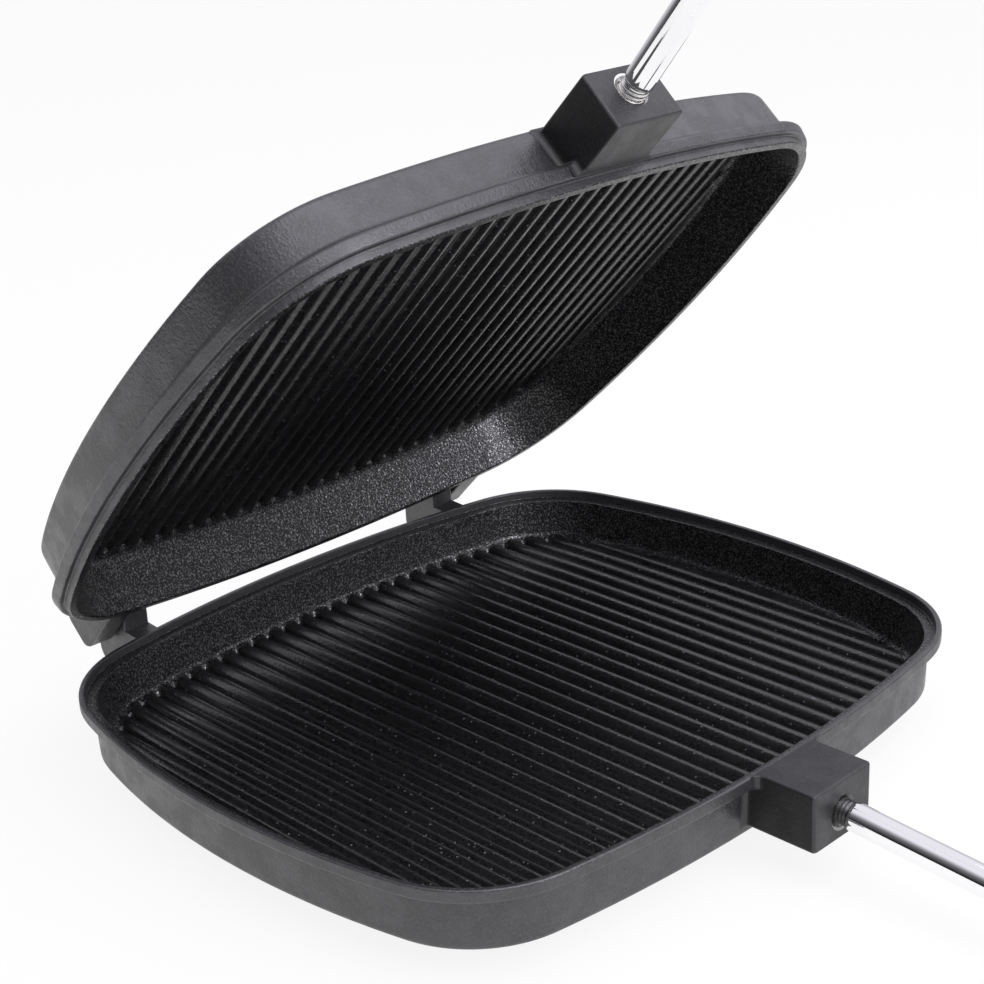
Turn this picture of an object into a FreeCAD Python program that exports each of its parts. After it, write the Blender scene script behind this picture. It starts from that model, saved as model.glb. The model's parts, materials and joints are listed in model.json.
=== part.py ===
import FreeCAD, Part
import math
import os

# A cast pie iron, open as in its photograph: two grooved trays hinged at the back, each on a long rod
# with a wooden grip, and a swinging hook that holds the grips together when the iron is shut.
# Frame: millimetres, +X from the hinge to the handles, +Y along the hinge, +Z up.
# The origin is the middle of the lower tray's flat outer bottom.
# Depths are measured from a tray's own rim plane, insets inwards from the outline of the head.

# How far the lid stands open, in degrees
open_angle = 45.5

# Outline of the head: bowed sides and round corners, as tangent arcs
half_length = 100.0
half_width = 116.0
handle_side_radius = 478.0
hinge_side_radius = 414.0
long_side_radius = 271.0
handle_corner_radius = 38.4
hinge_corner_radius = 39.8

# Trays
lower_depth = 20.0
upper_depth = 18.4
rim_gap = 0.2
flange_height = 3.5
flange_slope_height = 2.0
wall_inset = 3.8
wall_draft_inset = 0.4
bottom_edge_radius = 2.0
lower_floor = 5.0
upper_floor = 4.2
lower_foot_inset = 7.6
upper_foot_inset = 10.2
lower_foot_radius = 2.6
upper_foot_radius = 5.0
foot_steps = 3

# Rims: a lip and a ledge on the lower tray, a tongue on the upper one
lip_width = 1.8
ledge_drop = 2.6
ledge_inset = 5.1
tongue_side_clearance = 0.5
tongue_tip_clearance = 0.3
tongue_draft = 0.2

# Grooves of the grill plates
groove_pitch = 6.76
groove_width = 2.9
groove_bottom_width = 1.3
groove_depth = 1.8
groove_runout = 1.4
lower_groove_inset = 8.5
upper_groove_inset = 12.4
groove_strip = 2.0

# Hinge
hinge_back = 5.95
hinge_rise = 8.3
hinge_pin_radius = 2.5
hinge_pin_overhang = 0.4
hinge_pin_chamfer = 0.5
ear_inner = 61.0
ear_width = 8.9
ear_gap = 0.5
ear_edge_chamfer = 0.8
lower_ear_radius = 10.2
lower_ear_front = 6.0
lower_ear_shoulder = 0.6
lower_ear_bottom = 5.0
lower_ear_heel_radius = 6.0
upper_ear_back = 11.5
upper_ear_top = 9.6
upper_ear_top_radius = 8.0
upper_ear_tail_radius = 3.0

# Bosses that carry the rods
boss_reach = 18.0
boss_half_width = 12.25
boss_depth = 16.9
boss_edge_radius = 1.1

# Rods: a threaded end in the boss, a straight run that leans away, and a run through the grip
rod_radius = 4.0
rod_drop = 9.0
rod_tilt = 4.5
rod_bend_reach = 82.0
rod_bend_radius = 60.0
rod_chamfer = 0.7
thread_core_radius = 3.4
thread_depth = 17.0
neck_length = 3.0
hole_extra_depth = 2.0
hole_mouth_radius = 4.7
hole_mouth_depth = 1.3
collar_radius = 5.4
collar_length = 4.0
collar_flat = 1.4

# Grips, ferrules, washers and cap nuts
grip_start = 336.0
grip_length = 132.0
grip_radius = 13.0
grip_tenon_radius = 9.4
grip_tenon_length = 9.0
grip_end_radius = 5.0
ferrule_wall = 1.2
ferrule_length = 15.0
ferrule_nose_chamfer = 2.4
washer_radius = 8.5
washer_thickness = 1.6
nut_across_flats = 13.0
nut_height = 6.5
nut_dome_height = 5.0
nut_skirt_drop = 0.8
nut_bore_depth = 8.5

# Latch: a flat hook on the side of the upper grip, and the screw on the lower grip that it catches
latch_reach = 46.0
hook_thickness = 2.0
hook_half_width = 5.0
hook_eye_radius = 6.2
hook_tail = 8.0
hook_lip_radius = 2.2
hook_slot_lead = 1.0
latch_washer_radius = 5.2
latch_washer_thickness = 0.6
screw_radius = 2.0
screw_grip = 7.5
screw_tip_length = 2.0
screw_head_radius = 4.4
screw_head_height = 2.2
screw_slot_width = 1.0
screw_slot_depth = 0.9

# Clearances
running_clearance = 0.08
seat_clearance = 0.05
hook_side_clearance = 0.3
catch_clearance = 0.4
overrun = 5.0

# Turned outline of the grip: front, belly, waist and tail, as shares of the length behind the ferrule
# and of the full radius
grip_outline_shares = ((0.0, 0.80), (0.27, 1.0), (0.62, 0.90), (0.88, 1.0))

lower_rim = lower_depth
upper_rim = lower_rim + rim_gap
hinge_x = -(half_length + hinge_back)
hinge_z = lower_rim + hinge_rise
boss_face = half_length + boss_reach
grip_axis_depth = rod_drop + rod_bend_reach * math.tan(math.radians(rod_tilt))
grip_front = boss_face + grip_start
grip_back = grip_front + grip_length
ferrule_back = grip_front + grip_tenon_length
latch_x = grip_front + latch_reach


def at(x, y, z):
    return FreeCAD.Vector(x, y, z)


def line(start, end):
    return Part.LineSegment(start, end).toShape()


def arc(start, middle, end):
    return Part.Arc(start, middle, end).toShape()


def unit(x, y):
    size = math.hypot(x, y)
    return x / size, y / size


# Each tray has its rim plane and the way that its depth runs: down for the lower one, up for the upper
class Tray:
    def __init__(self, rim, outward, depth, floor, foot_inset, foot_radius, groove_inset):
        self.rim = rim
        self.outward = outward
        self.depth = depth
        self.floor_depth = depth - floor
        self.foot_inset = foot_inset
        self.foot_radius = foot_radius
        self.groove_inset = groove_inset

    def level(self, depth):
        return self.rim + self.outward * depth

    def rod_way(self):
        lean = math.radians(rod_tilt)
        return at(math.cos(lean), 0, self.outward * math.sin(lean))

    def rod_mouth(self):
        return at(boss_face, 0, self.level(rod_drop))

    def grip_point(self, x):
        return at(x, 0, self.level(grip_axis_depth))


lower = Tray(lower_rim, -1, lower_depth, lower_floor, lower_foot_inset, lower_foot_radius, lower_groove_inset)
upper = Tray(upper_rim, 1, upper_depth, upper_floor, upper_foot_inset, upper_foot_radius, upper_groove_inset)


# Outline: one end is the handle side (end 1) or the hinge side (end -1)
def end_arcs(end):
    if end > 0:
        return handle_side_radius, handle_corner_radius
    return hinge_side_radius, hinge_corner_radius


def corner_centre(end):
    side_radius, corner_radius = end_arcs(end)
    side_x = half_length - side_radius
    long_y = half_width - long_side_radius
    from_side = side_radius - corner_radius
    from_long = long_side_radius - corner_radius
    gap = math.hypot(side_x, long_y)
    along = (from_side ** 2 - from_long ** 2 + gap ** 2) / (2 * gap)
    across = math.sqrt(from_side ** 2 - along ** 2)
    way_x, way_y = unit(-side_x, long_y)
    x = side_x + along * way_x - across * way_y
    y = along * way_y + across * way_x
    return x, y


# The points where one corner arc starts, its middle, and where it runs into the long side
def corner_points(end, inset):
    side_radius, corner_radius = end_arcs(end)
    x, y = corner_centre(end)
    side_way = unit(x - (half_length - side_radius), y)
    long_way = unit(x, y - (half_width - long_side_radius))
    middle_way = unit(side_way[0] + long_way[0], side_way[1] + long_way[1])
    radius = corner_radius - inset
    return [(x + radius * way[0], y + radius * way[1]) for way in (side_way, middle_way, long_way)]


def outline(inset, z):
    handle = [at(x, y, z) for x, y in corner_points(1, inset)]
    hinge = [at(-x, y, z) for x, y in corner_points(-1, inset)]
    handle_low = [at(p.x, -p.y, z) for p in handle]
    hinge_low = [at(p.x, -p.y, z) for p in hinge]
    x = half_length - inset
    y = half_width - inset
    edges = [
        arc(handle_low[0], at(x, 0, z), handle[0]),
        arc(handle[0], handle[1], handle[2]),
        arc(handle[2], at(0, y, z), hinge[2]),
        arc(hinge[2], hinge[1], hinge[0]),
        arc(hinge[0], at(-x, 0, z), hinge_low[0]),
        arc(hinge_low[0], hinge_low[1], hinge_low[2]),
        arc(hinge_low[2], at(0, -y, z), handle_low[2]),
        arc(handle_low[2], handle_low[1], handle_low[0]),
    ]
    return Part.Wire(edges)


# How far the outline reaches towards one end at a distance y from the middle line
def outline_reach(end, inset, y):
    side_radius, corner_radius = end_arcs(end)
    side, _, long_side = corner_points(end, inset)
    if y <= side[1]:
        return half_length - side_radius + math.sqrt((side_radius - inset) ** 2 - y ** 2)
    if y <= long_side[1]:
        x, corner_y = corner_centre(end)
        return x + math.sqrt((corner_radius - inset) ** 2 - (y - corner_y) ** 2)
    return math.sqrt((long_side_radius - inset) ** 2 - (y - half_width + long_side_radius) ** 2)


# A solid whose section follows the outline at each (inset, z) of the list
def form(levels):
    return Part.makeLoft([outline(inset, z) for inset, z in levels], True, True)


def edges_at(shape, z):
    return [edge for edge in shape.Edges if all(abs(v.Z - z) < seat_clearance for v in edge.Vertexes)]


def tray_outside(tray):
    flange = flange_height + flange_slope_height
    bottom = tray.level(tray.depth)
    solid = form([
        (wall_inset + wall_draft_inset, bottom),
        (wall_inset, tray.level(flange)),
        (0, tray.level(flange_height)),
        (0, tray.rim),
    ])
    return solid.makeFillet(bottom_edge_radius, edges_at(solid, bottom))


# The wall runs into the floor on a rounded foot: the levels are points of its arc
def foot_levels(tray, mouth_depth):
    lean = math.atan2(tray.floor_depth - mouth_depth, tray.foot_inset - ledge_inset)
    foot_end = tray.foot_inset + tray.foot_radius * math.tan(lean / 2)
    levels = []
    for step in range(foot_steps + 1):
        turn = lean * (1 - step / foot_steps)
        rise = tray.foot_radius * (1 - math.cos(turn))
        levels.append((foot_end - tray.foot_radius * math.sin(turn), tray.level(tray.floor_depth - rise)))
    return levels


def tray_inside(tray, mouth_depth):
    mouth = [
        (ledge_inset, tray.level(mouth_depth - overrun)),
        (ledge_inset, tray.level(mouth_depth)),
    ]
    return form(mouth + foot_levels(tray, mouth_depth))


# One groove is a slot with round ends that widens upwards and runs out into the foot of the wall
def slot_section(start, end, y, half, z):
    corners = [at(start, y - half, z), at(end, y - half, z), at(end, y + half, z), at(start, y + half, z)]
    return Part.Wire([
        line(corners[0], corners[1]),
        arc(corners[1], at(end + half, y, z), corners[2]),
        line(corners[2], corners[3]),
        arc(corners[3], at(start - half, y, z), corners[0]),
    ])


def groove(tray, y):
    half = groove_width / 2
    bottom_half = groove_bottom_width / 2
    spread = (half - bottom_half) / groove_depth
    outer_y = abs(y) + half
    end = outline_reach(1, tray.groove_inset, outer_y) - half
    start = half - outline_reach(-1, tray.groove_inset, outer_y)
    sections = [
        slot_section(start, end, y, bottom_half, tray.level(tray.floor_depth + groove_depth)),
        slot_section(start, end, y, half + spread * groove_runout, tray.level(tray.floor_depth - groove_runout)),
    ]
    return Part.makeLoft(sections, True, True)


# Both plates carry the same row of grooves, as many as the narrower floor has room for
def groove_places():
    floor_half = half_width - upper_groove_inset - groove_strip
    count = int((floor_half - groove_width / 2) / groove_pitch + 1 / 2)
    places = [(step + 1 / 2) * groove_pitch for step in range(count)]
    return [-y for y in reversed(places)] + places


def boss(tray):
    inside = half_length - ledge_inset
    low = min(tray.rim, tray.level(boss_depth))
    block = Part.makeBox(boss_face - inside, 2 * boss_half_width, boss_depth, at(inside, -boss_half_width, low))
    outer = tray.level(boss_depth)
    rounded = []
    for edge in block.Edges:
        middle = edge.CenterOfMass
        at_face = abs(middle.x - boss_face) < seat_clearance
        at_outer = abs(middle.z - outer) < seat_clearance
        upright = abs(middle.z - (low + boss_depth / 2)) < seat_clearance
        if (at_face and (upright or at_outer)) or (at_outer and abs(middle.y) > seat_clearance):
            rounded.append(edge)
    return block.makeFillet(boss_edge_radius, rounded)


def rod_hole(tray):
    way = tray.rod_way()
    mouth = tray.rod_mouth()
    depth = thread_depth + hole_extra_depth
    radius = thread_core_radius + seat_clearance
    core = Part.makeCylinder(radius, depth + overrun, mouth - way * depth, way)
    slope = (hole_mouth_radius - radius) / hole_mouth_depth
    cone = Part.makeCone(
        radius, hole_mouth_radius + slope * hole_mouth_depth, 2 * hole_mouth_depth, mouth - way * hole_mouth_depth, way
    )
    return core.fuse(cone)


# An ear is a flat outline in the XZ plane, as thick as the ear is wide
def ear_solid(edges, inner):
    face = Part.Face(Part.Wire(edges))
    solid = face.extrude(at(0, ear_width, 0))
    root_x = ear_root()
    outer_edges = []
    for edge in solid.Edges:
        across = edge.BoundBox.YLength > seat_clearance
        at_root = edge.BoundBox.XMax > root_x - seat_clearance
        if not across and not at_root:
            outer_edges.append(edge)
    solid = solid.makeChamfer(ear_edge_chamfer, outer_edges)
    solid.translate(at(0, inner, 0))
    return solid


# The ears start inside the wall, where the bowed side lies furthest forward
def ear_root():
    return -outline_reach(-1, ledge_inset, ear_inner + 2 * ear_width + ear_gap)


def lower_ear_edges():
    root_x = ear_root()
    front_x = hinge_x + lower_ear_front
    back_x = hinge_x - lower_ear_radius
    shoulder = lower_rim - lower_ear_shoulder
    front_rise = math.sqrt(lower_ear_radius ** 2 - lower_ear_front ** 2)
    heel = lower_ear_heel_radius
    turn = heel * (1 - math.sqrt(1 / 2))
    points = [
        at(root_x, 0, lower_ear_bottom),
        at(root_x, 0, shoulder),
        at(front_x, 0, shoulder),
        at(front_x, 0, hinge_z + front_rise),
        at(back_x, 0, hinge_z),
        at(back_x, 0, lower_ear_bottom + heel),
        at(back_x + heel, 0, lower_ear_bottom),
    ]
    top = at(hinge_x, 0, hinge_z + lower_ear_radius)
    heel_middle = at(back_x + turn, 0, lower_ear_bottom + turn)
    return [
        line(points[0], points[1]),
        line(points[1], points[2]),
        line(points[2], points[3]),
        arc(points[3], top, points[4]),
        line(points[4], points[5]),
        arc(points[5], heel_middle, points[6]),
        line(points[6], points[0]),
    ]


def upper_ear_edges():
    root_x = ear_root()
    back_x = hinge_x - upper_ear_back
    top_z = hinge_z + upper_ear_top
    tail = upper_ear_tail_radius
    crown = upper_ear_top_radius
    tail_turn = tail * (1 - math.sqrt(1 / 2))
    crown_turn = crown * (1 - math.sqrt(1 / 2))
    points = [
        at(root_x, 0, upper_rim),
        at(root_x, 0, top_z),
        at(back_x + crown, 0, top_z),
        at(back_x, 0, top_z - crown),
        at(back_x, 0, upper_rim + tail),
        at(back_x + tail, 0, upper_rim),
    ]
    return [
        line(points[0], points[1]),
        line(points[1], points[2]),
        arc(points[2], at(back_x + crown_turn, 0, top_z - crown_turn), points[3]),
        line(points[3], points[4]),
        arc(points[4], at(back_x + tail_turn, 0, upper_rim + tail_turn), points[5]),
        line(points[5], points[0]),
    ]


def ears(edges, inner):
    ear = ear_solid(edges, inner)
    return [ear, ear.mirror(at(0, 0, 0), at(0, 1, 0))]


def hinge_bore(radius):
    reach = ear_inner + 2 * ear_width + ear_gap + overrun
    return Part.makeCylinder(radius, 2 * reach, at(hinge_x, -reach, hinge_z), at(0, 1, 0))


# The grooves are cut first, while the tray is still full, so that each one is a clean cut
def finished_iron(tray, solid, cutters):
    for cutter in [groove(tray, y) for y in groove_places()] + cutters:
        solid = solid.cut(cutter)
    return solid.removeSplitter()


def lower_iron():
    solid = tray_outside(lower).fuse([boss(lower)] + ears(lower_ear_edges(), ear_inner))
    ledge = form([(lip_width, lower.level(-overrun)), (lip_width, lower.level(ledge_drop))])
    cutters = [
        ledge,
        tray_inside(lower, ledge_drop),
        rod_hole(lower),
        hinge_bore(hinge_pin_radius + seat_clearance),
    ]
    return finished_iron(lower, solid, cutters)


def upper_iron():
    outer_ear = ear_inner + ear_width + ear_gap
    solid = tray_outside(upper).fuse([boss(upper)] + ears(upper_ear_edges(), outer_ear))
    tongue_inset = lip_width + tongue_side_clearance
    tongue_height = ledge_drop + rim_gap - tongue_tip_clearance
    tongue = form([(tongue_inset, upper.rim), (tongue_inset + tongue_draft, upper.level(-tongue_height))])
    solid = solid.fuse(tongue)
    cutters = [
        tray_inside(upper, -tongue_height),
        rod_hole(upper),
        hinge_bore(hinge_pin_radius + running_clearance),
    ]
    return finished_iron(upper, solid, cutters)


# A pin lies in one pair of ears, from inner face to outer face, with both ends chamfered
def hinge_pin(side):
    length = 2 * ear_width + ear_gap + 2 * hinge_pin_overhang
    start = ear_inner - hinge_pin_overhang
    pin = Part.makeCylinder(hinge_pin_radius, length, at(hinge_x, start, hinge_z), at(0, 1, 0))
    pin = pin.makeChamfer(hinge_pin_chamfer, [edge for edge in pin.Edges if edge.Closed])
    if side < 0:
        pin = pin.mirror(at(0, 0, 0), at(0, 1, 0))
    return pin


# A turned piece: (x, radius) points joined by lines, spun about the grip's axis
def turned(tray, profile):
    points = [tray.grip_point(x) + at(0, 0, radius) for x, radius in profile]
    face = Part.Face(Part.makePolygon(points + [points[0]]))
    return face.revolve(tray.grip_point(0), at(1, 0, 0), 360)


def rod_path(tray):
    way = tray.rod_way()
    mouth = tray.rod_mouth()
    corner = tray.grip_point(boss_face + rod_bend_reach)
    tangent = rod_bend_radius * math.tan(math.radians(rod_tilt) / 2)
    centre = corner + at(tangent, 0, 0) + at(0, 0, -tray.outward * rod_bend_radius)
    half_turn = math.radians(rod_tilt) / 2
    middle = centre + at(-math.sin(half_turn), 0, tray.outward * math.cos(half_turn)) * rod_bend_radius
    start = mouth + way * (neck_length + rod_chamfer)
    bend_start = corner - way * tangent
    bend_end = corner + at(tangent, 0, 0)
    end = tray.grip_point(grip_back + washer_thickness + nut_bore_depth - rod_chamfer)
    return start, Part.Wire([line(start, bend_start), arc(bend_start, middle, bend_end), line(bend_end, end)]), end


def rod(tray):
    way = tray.rod_way()
    mouth = tray.rod_mouth()
    start, path, end = rod_path(tray)
    section = Part.Wire([Part.Circle(start, way, rod_radius).toShape()])
    stem = path.makePipeShell([section], True, False)
    inner = mouth - way * thread_depth
    thread = Part.makeCylinder(thread_core_radius, thread_depth + neck_length, inner, way)
    shoulder = Part.makeCone(rod_radius - rod_chamfer, rod_radius, rod_chamfer, mouth + way * neck_length, way)
    tip = Part.makeCone(rod_radius, rod_radius - rod_chamfer, rod_chamfer, end, at(1, 0, 0))
    collar_end = grip_front - (ferrule_length - grip_tenon_length) - seat_clearance
    slope = (collar_length - collar_flat) / 2
    collar = turned(tray, [
        (collar_end - collar_length, 0),
        (collar_end - collar_length, rod_radius),
        (collar_end - collar_length + slope, collar_radius),
        (collar_end - slope, collar_radius),
        (collar_end, rod_radius),
        (collar_end, 0),
    ])
    return stem.fuse([thread, shoulder, tip, collar]).removeSplitter()


# An arc that is level at its flat point and passes through its other point
def level_arc(flat_point, other, flat_first):
    run = other.x - flat_point.x
    rise = other.z - flat_point.z
    radius = (run ** 2 + rise ** 2) / (2 * rise)
    half_turn = math.asin(run / radius) / 2
    middle = flat_point + at(radius * math.sin(half_turn), 0, radius * (1 - math.cos(half_turn)))
    if flat_first:
        return arc(flat_point, middle, other)
    return arc(other, middle, flat_point)


# Two such arcs, from one level point to the next, meet at the middle in one smooth bend
def double_bend(start, end):
    middle = (start + end) * 0.5
    return [level_arc(start, middle, True), level_arc(end, middle, False)]


# The grip is turned wood: a tenon for the ferrule, a swelling body, a round end and a bore for the rod
def grip(tray):
    body_length = grip_back - ferrule_back
    bore = rod_radius + seat_clearance
    shape_points = [
        tray.grip_point(ferrule_back + body_length * length_share) + at(0, 0, grip_radius * radius_share)
        for length_share, radius_share in grip_outline_shares
    ]
    front, belly, waist, tail = shape_points
    round_start = tail
    end_radius = min(grip_end_radius, grip_back - round_start.x)
    end_ring = tray.grip_point(grip_back) + at(0, 0, grip_radius - end_radius)
    round_middle = at(
        grip_back - end_radius * (1 - math.sqrt(1 / 2)), 0,
        tray.grip_point(0).z + grip_radius - end_radius * (1 - math.sqrt(1 / 2)),
    )
    flat_end = at(grip_back - end_radius, 0, round_start.z)
    tenon = [
        tray.grip_point(grip_back) + at(0, 0, bore),
        tray.grip_point(grip_front) + at(0, 0, bore),
        tray.grip_point(grip_front) + at(0, 0, grip_tenon_radius),
        tray.grip_point(ferrule_back) + at(0, 0, grip_tenon_radius),
        front,
    ]
    edges = [line(tenon[step], tenon[step + 1]) for step in range(len(tenon) - 1)]
    edges.append(level_arc(belly, front, False))
    edges += double_bend(belly, waist) + double_bend(waist, tail)
    edges.append(line(round_start, flat_end))
    edges.append(arc(flat_end, round_middle, end_ring))
    edges.append(line(end_ring, tenon[0]))
    face = Part.Face(Part.Wire(edges))
    return face.revolve(tray.grip_point(0), at(1, 0, 0), 360)


def screw_bore(tray):
    seat = tray.grip_point(latch_x) - at(0, grip_radius, 0)
    return Part.makeCylinder(screw_radius + seat_clearance, screw_grip + overrun, seat - at(0, overrun, 0), at(0, 1, 0))


def drilled_grip(tray):
    return grip(tray).cut(screw_bore(tray))


# The ferrule is a spun cup over the tenon, with a chamfered nose against the rod's collar
def ferrule(tray):
    front = ferrule_back - ferrule_length
    outer = grip_tenon_radius + ferrule_wall
    inner = grip_tenon_radius + seat_clearance
    bore = rod_radius + seat_clearance
    floor = grip_front - seat_clearance
    back = ferrule_back - seat_clearance
    nose = ferrule_nose_chamfer
    return turned(tray, [
        (front, bore),
        (front, outer - nose),
        (front + nose, outer),
        (back, outer),
        (back, inner),
        (floor, inner),
        (floor, bore),
    ])


def end_washer(tray):
    bore = rod_radius + seat_clearance
    back = grip_back + washer_thickness
    return turned(tray, [(grip_back, bore), (grip_back, washer_radius), (back, washer_radius), (back, bore)])


# A cap nut: a hexagon under a dome, on the rod's threaded end
def cap_nut(tray):
    seat = grip_back + washer_thickness
    flat_half = nut_across_flats / 2
    corner_radius = flat_half / math.cos(math.pi / 6)
    corners = []
    for step in range(7):
        turn = step * math.pi / 3
        corners.append(tray.grip_point(seat) + at(0, corner_radius * math.cos(turn), corner_radius * math.sin(turn)))
    length = nut_height + nut_dome_height
    hexagon = Part.Face(Part.makePolygon(corners)).extrude(at(length, 0, 0))
    dome_start = seat + nut_height
    axis = tray.grip_point(0)
    rim = tray.grip_point(dome_start - nut_skirt_drop) + at(0, 0, corner_radius)
    waist = tray.grip_point(dome_start) + at(0, 0, flat_half - nut_skirt_drop)
    crown = tray.grip_point(seat + length)
    dome_radius = ((flat_half - nut_skirt_drop) ** 2 + nut_dome_height ** 2) / (2 * nut_dome_height)
    half_turn = math.acos(1 - nut_dome_height / dome_radius) / 2
    middle = crown + at(dome_radius * (math.cos(half_turn) - 1), 0, dome_radius * math.sin(half_turn))
    base = tray.grip_point(seat)
    chamfer_start = base + at(0, 0, corner_radius)
    face = Part.Face(Part.Wire([
        line(base, chamfer_start),
        line(chamfer_start, rim),
        line(rim, waist),
        arc(waist, middle, crown),
        line(crown, base),
    ]))
    spun = face.revolve(axis, at(1, 0, 0), 360)
    bore = Part.makeCylinder(rod_radius + seat_clearance, nut_bore_depth + seat_clearance, base, at(1, 0, 0))
    return hexagon.common(spun).cut(bore)


# Planes of the latch beside the grips, counted outwards from the grip's side, towards -Y
washer_face = grip_radius + latch_washer_thickness
hook_inner_face = washer_face
hook_outer_face = hook_inner_face + hook_thickness
head_seat = hook_outer_face + hook_side_clearance


# A round-headed screw in the side of a grip, its head just clear of the hook
def grip_screw(tray):
    centre = tray.grip_point(latch_x)
    tip_point = centre - at(0, grip_radius - screw_grip, 0)
    way = at(0, -1, 0)
    taper = Part.makeCone(0, screw_radius, screw_tip_length, tip_point, way)
    shank_start = tip_point + way * screw_tip_length
    shank = Part.makeCylinder(screw_radius, head_seat - (grip_radius - screw_grip) - screw_tip_length, shank_start, way)
    seat = centre + way * head_seat
    dome_radius = (screw_head_radius ** 2 + screw_head_height ** 2) / (2 * screw_head_height)
    ball = Part.makeSphere(dome_radius, seat + way * (screw_head_height - dome_radius))
    head = Part.makeCylinder(screw_head_radius, screw_head_height, seat, way).common(ball)
    slot = Part.makeBox(
        2 * screw_head_radius + overrun, screw_slot_depth + overrun, screw_slot_width,
        seat + way * (screw_head_height + overrun) - at(screw_head_radius + overrun / 2, 0, screw_slot_width / 2),
    )
    return taper.fuse([shank, head]).cut(slot)


def latch_washer():
    centre = upper.grip_point(latch_x) - at(0, grip_radius, 0)
    ring = Part.makeCylinder(latch_washer_radius, latch_washer_thickness, centre, at(0, -1, 0))
    return ring.cut(Part.makeCylinder(screw_radius + seat_clearance, latch_washer_thickness, centre, at(0, -1, 0)))


# The hook hangs from the upper screw; its slot opens towards +X and drops over the lower screw
def latch_hook():
    eye = upper.grip_point(latch_x)
    catch = lower.grip_point(latch_x)
    outer_y = -hook_outer_face
    through = at(0, hook_thickness, 0)
    slot_radius = screw_radius + catch_clearance
    bottom = catch.z - hook_tail

    def disc(x, z, radius):
        return Part.makeCylinder(radius, hook_thickness, at(x, outer_y, z), at(0, 1, 0))

    def panel(points):
        corners = [at(x, outer_y, z) for x, z in points]
        return Part.Face(Part.makePolygon(corners + [corners[0]])).extrude(through)

    left = eye.x - hook_half_width
    right = eye.x + hook_half_width
    strip = panel([(left, eye.z), (right, eye.z), (right, bottom), (left, bottom)])
    blank = strip.fuse([
        disc(eye.x, eye.z, hook_eye_radius),
        disc(eye.x, bottom, hook_half_width),
        disc(right, catch.z - slot_radius - hook_lip_radius, hook_lip_radius),
    ])
    mouth = right + overrun
    slot = panel([
        (catch.x, catch.z - slot_radius),
        (right - hook_slot_lead, catch.z - slot_radius),
        (mouth, catch.z - slot_radius - hook_slot_lead),
        (mouth, catch.z + slot_radius + overrun),
        (right - hook_slot_lead, catch.z + slot_radius),
        (catch.x, catch.z + slot_radius),
    ])
    cutters = [slot, disc(catch.x, catch.z, slot_radius), disc(eye.x, eye.z, screw_radius + running_clearance)]
    return blank.cut(cutters).removeSplitter()


# The lid and all that it carries are turned about the hinge; the hook then hangs straight down
def opened(shape):
    turned_shape = shape.copy()
    turned_shape.rotate(at(hinge_x, 0, hinge_z), at(0, -1, 0), open_angle)
    return turned_shape


def hanging(shape):
    pivot = upper.grip_point(latch_x)
    spot = Part.Vertex(pivot)
    spot.rotate(at(hinge_x, 0, hinge_z), at(0, -1, 0), open_angle)
    moved = shape.copy()
    moved.translate(spot.Point - pivot)
    return moved


pieces = {
    "lower_iron": lower_iron(),
    "lower_rod": rod(lower),
    "lower_ferrule": ferrule(lower),
    "lower_grip": drilled_grip(lower),
    "lower_end_washer": end_washer(lower),
    "lower_cap_nut": cap_nut(lower),
    "latch_catch_screw": grip_screw(lower),
    "near_hinge_pin": hinge_pin(-1),
    "far_hinge_pin": hinge_pin(1),
    "upper_iron": opened(upper_iron()),
    "upper_rod": opened(rod(upper)),
    "upper_ferrule": opened(ferrule(upper)),
    "upper_grip": opened(drilled_grip(upper)),
    "upper_end_washer": opened(end_washer(upper)),
    "upper_cap_nut": opened(cap_nut(upper)),
    "latch_pivot_screw": opened(grip_screw(upper)),
    "latch_washer": opened(latch_washer()),
    "latch_hook": hanging(latch_hook()),
}

os.makedirs("parts", exist_ok=True)
for name, shape in pieces.items():
    box = shape.optimalBoundingBox(False)
    print(name, shape.isValid(), len(shape.Solids), round(shape.Volume), len(shape.Faces),
          [round(value, 1) for value in (box.XMin, box.XMax, box.YMin, box.YMax, box.ZMin, box.ZMax)])
    shape.exportStep("parts/" + name + ".step")
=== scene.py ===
import json
import math

import bmesh
import bpy
import numpy as np
from mathutils import Matrix, Vector


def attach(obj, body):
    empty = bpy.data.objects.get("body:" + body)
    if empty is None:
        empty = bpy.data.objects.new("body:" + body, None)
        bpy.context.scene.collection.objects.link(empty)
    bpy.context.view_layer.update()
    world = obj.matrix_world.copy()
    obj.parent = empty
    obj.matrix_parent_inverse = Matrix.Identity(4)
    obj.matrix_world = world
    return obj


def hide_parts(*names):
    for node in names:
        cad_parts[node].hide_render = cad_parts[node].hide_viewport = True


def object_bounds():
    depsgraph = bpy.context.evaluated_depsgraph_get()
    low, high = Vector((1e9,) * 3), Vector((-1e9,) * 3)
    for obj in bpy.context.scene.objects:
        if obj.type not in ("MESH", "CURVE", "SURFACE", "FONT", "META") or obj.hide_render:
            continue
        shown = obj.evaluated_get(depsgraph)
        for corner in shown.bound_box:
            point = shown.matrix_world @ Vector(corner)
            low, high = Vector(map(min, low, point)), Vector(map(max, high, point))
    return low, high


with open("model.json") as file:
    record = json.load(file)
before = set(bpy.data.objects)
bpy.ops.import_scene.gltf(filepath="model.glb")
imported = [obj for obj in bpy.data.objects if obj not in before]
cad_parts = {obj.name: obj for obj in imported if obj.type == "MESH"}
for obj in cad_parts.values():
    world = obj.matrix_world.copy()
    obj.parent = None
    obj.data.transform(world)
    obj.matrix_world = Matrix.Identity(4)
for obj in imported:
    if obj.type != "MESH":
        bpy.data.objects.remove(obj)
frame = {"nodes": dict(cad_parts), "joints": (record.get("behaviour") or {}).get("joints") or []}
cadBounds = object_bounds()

mm = 0.001

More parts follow.
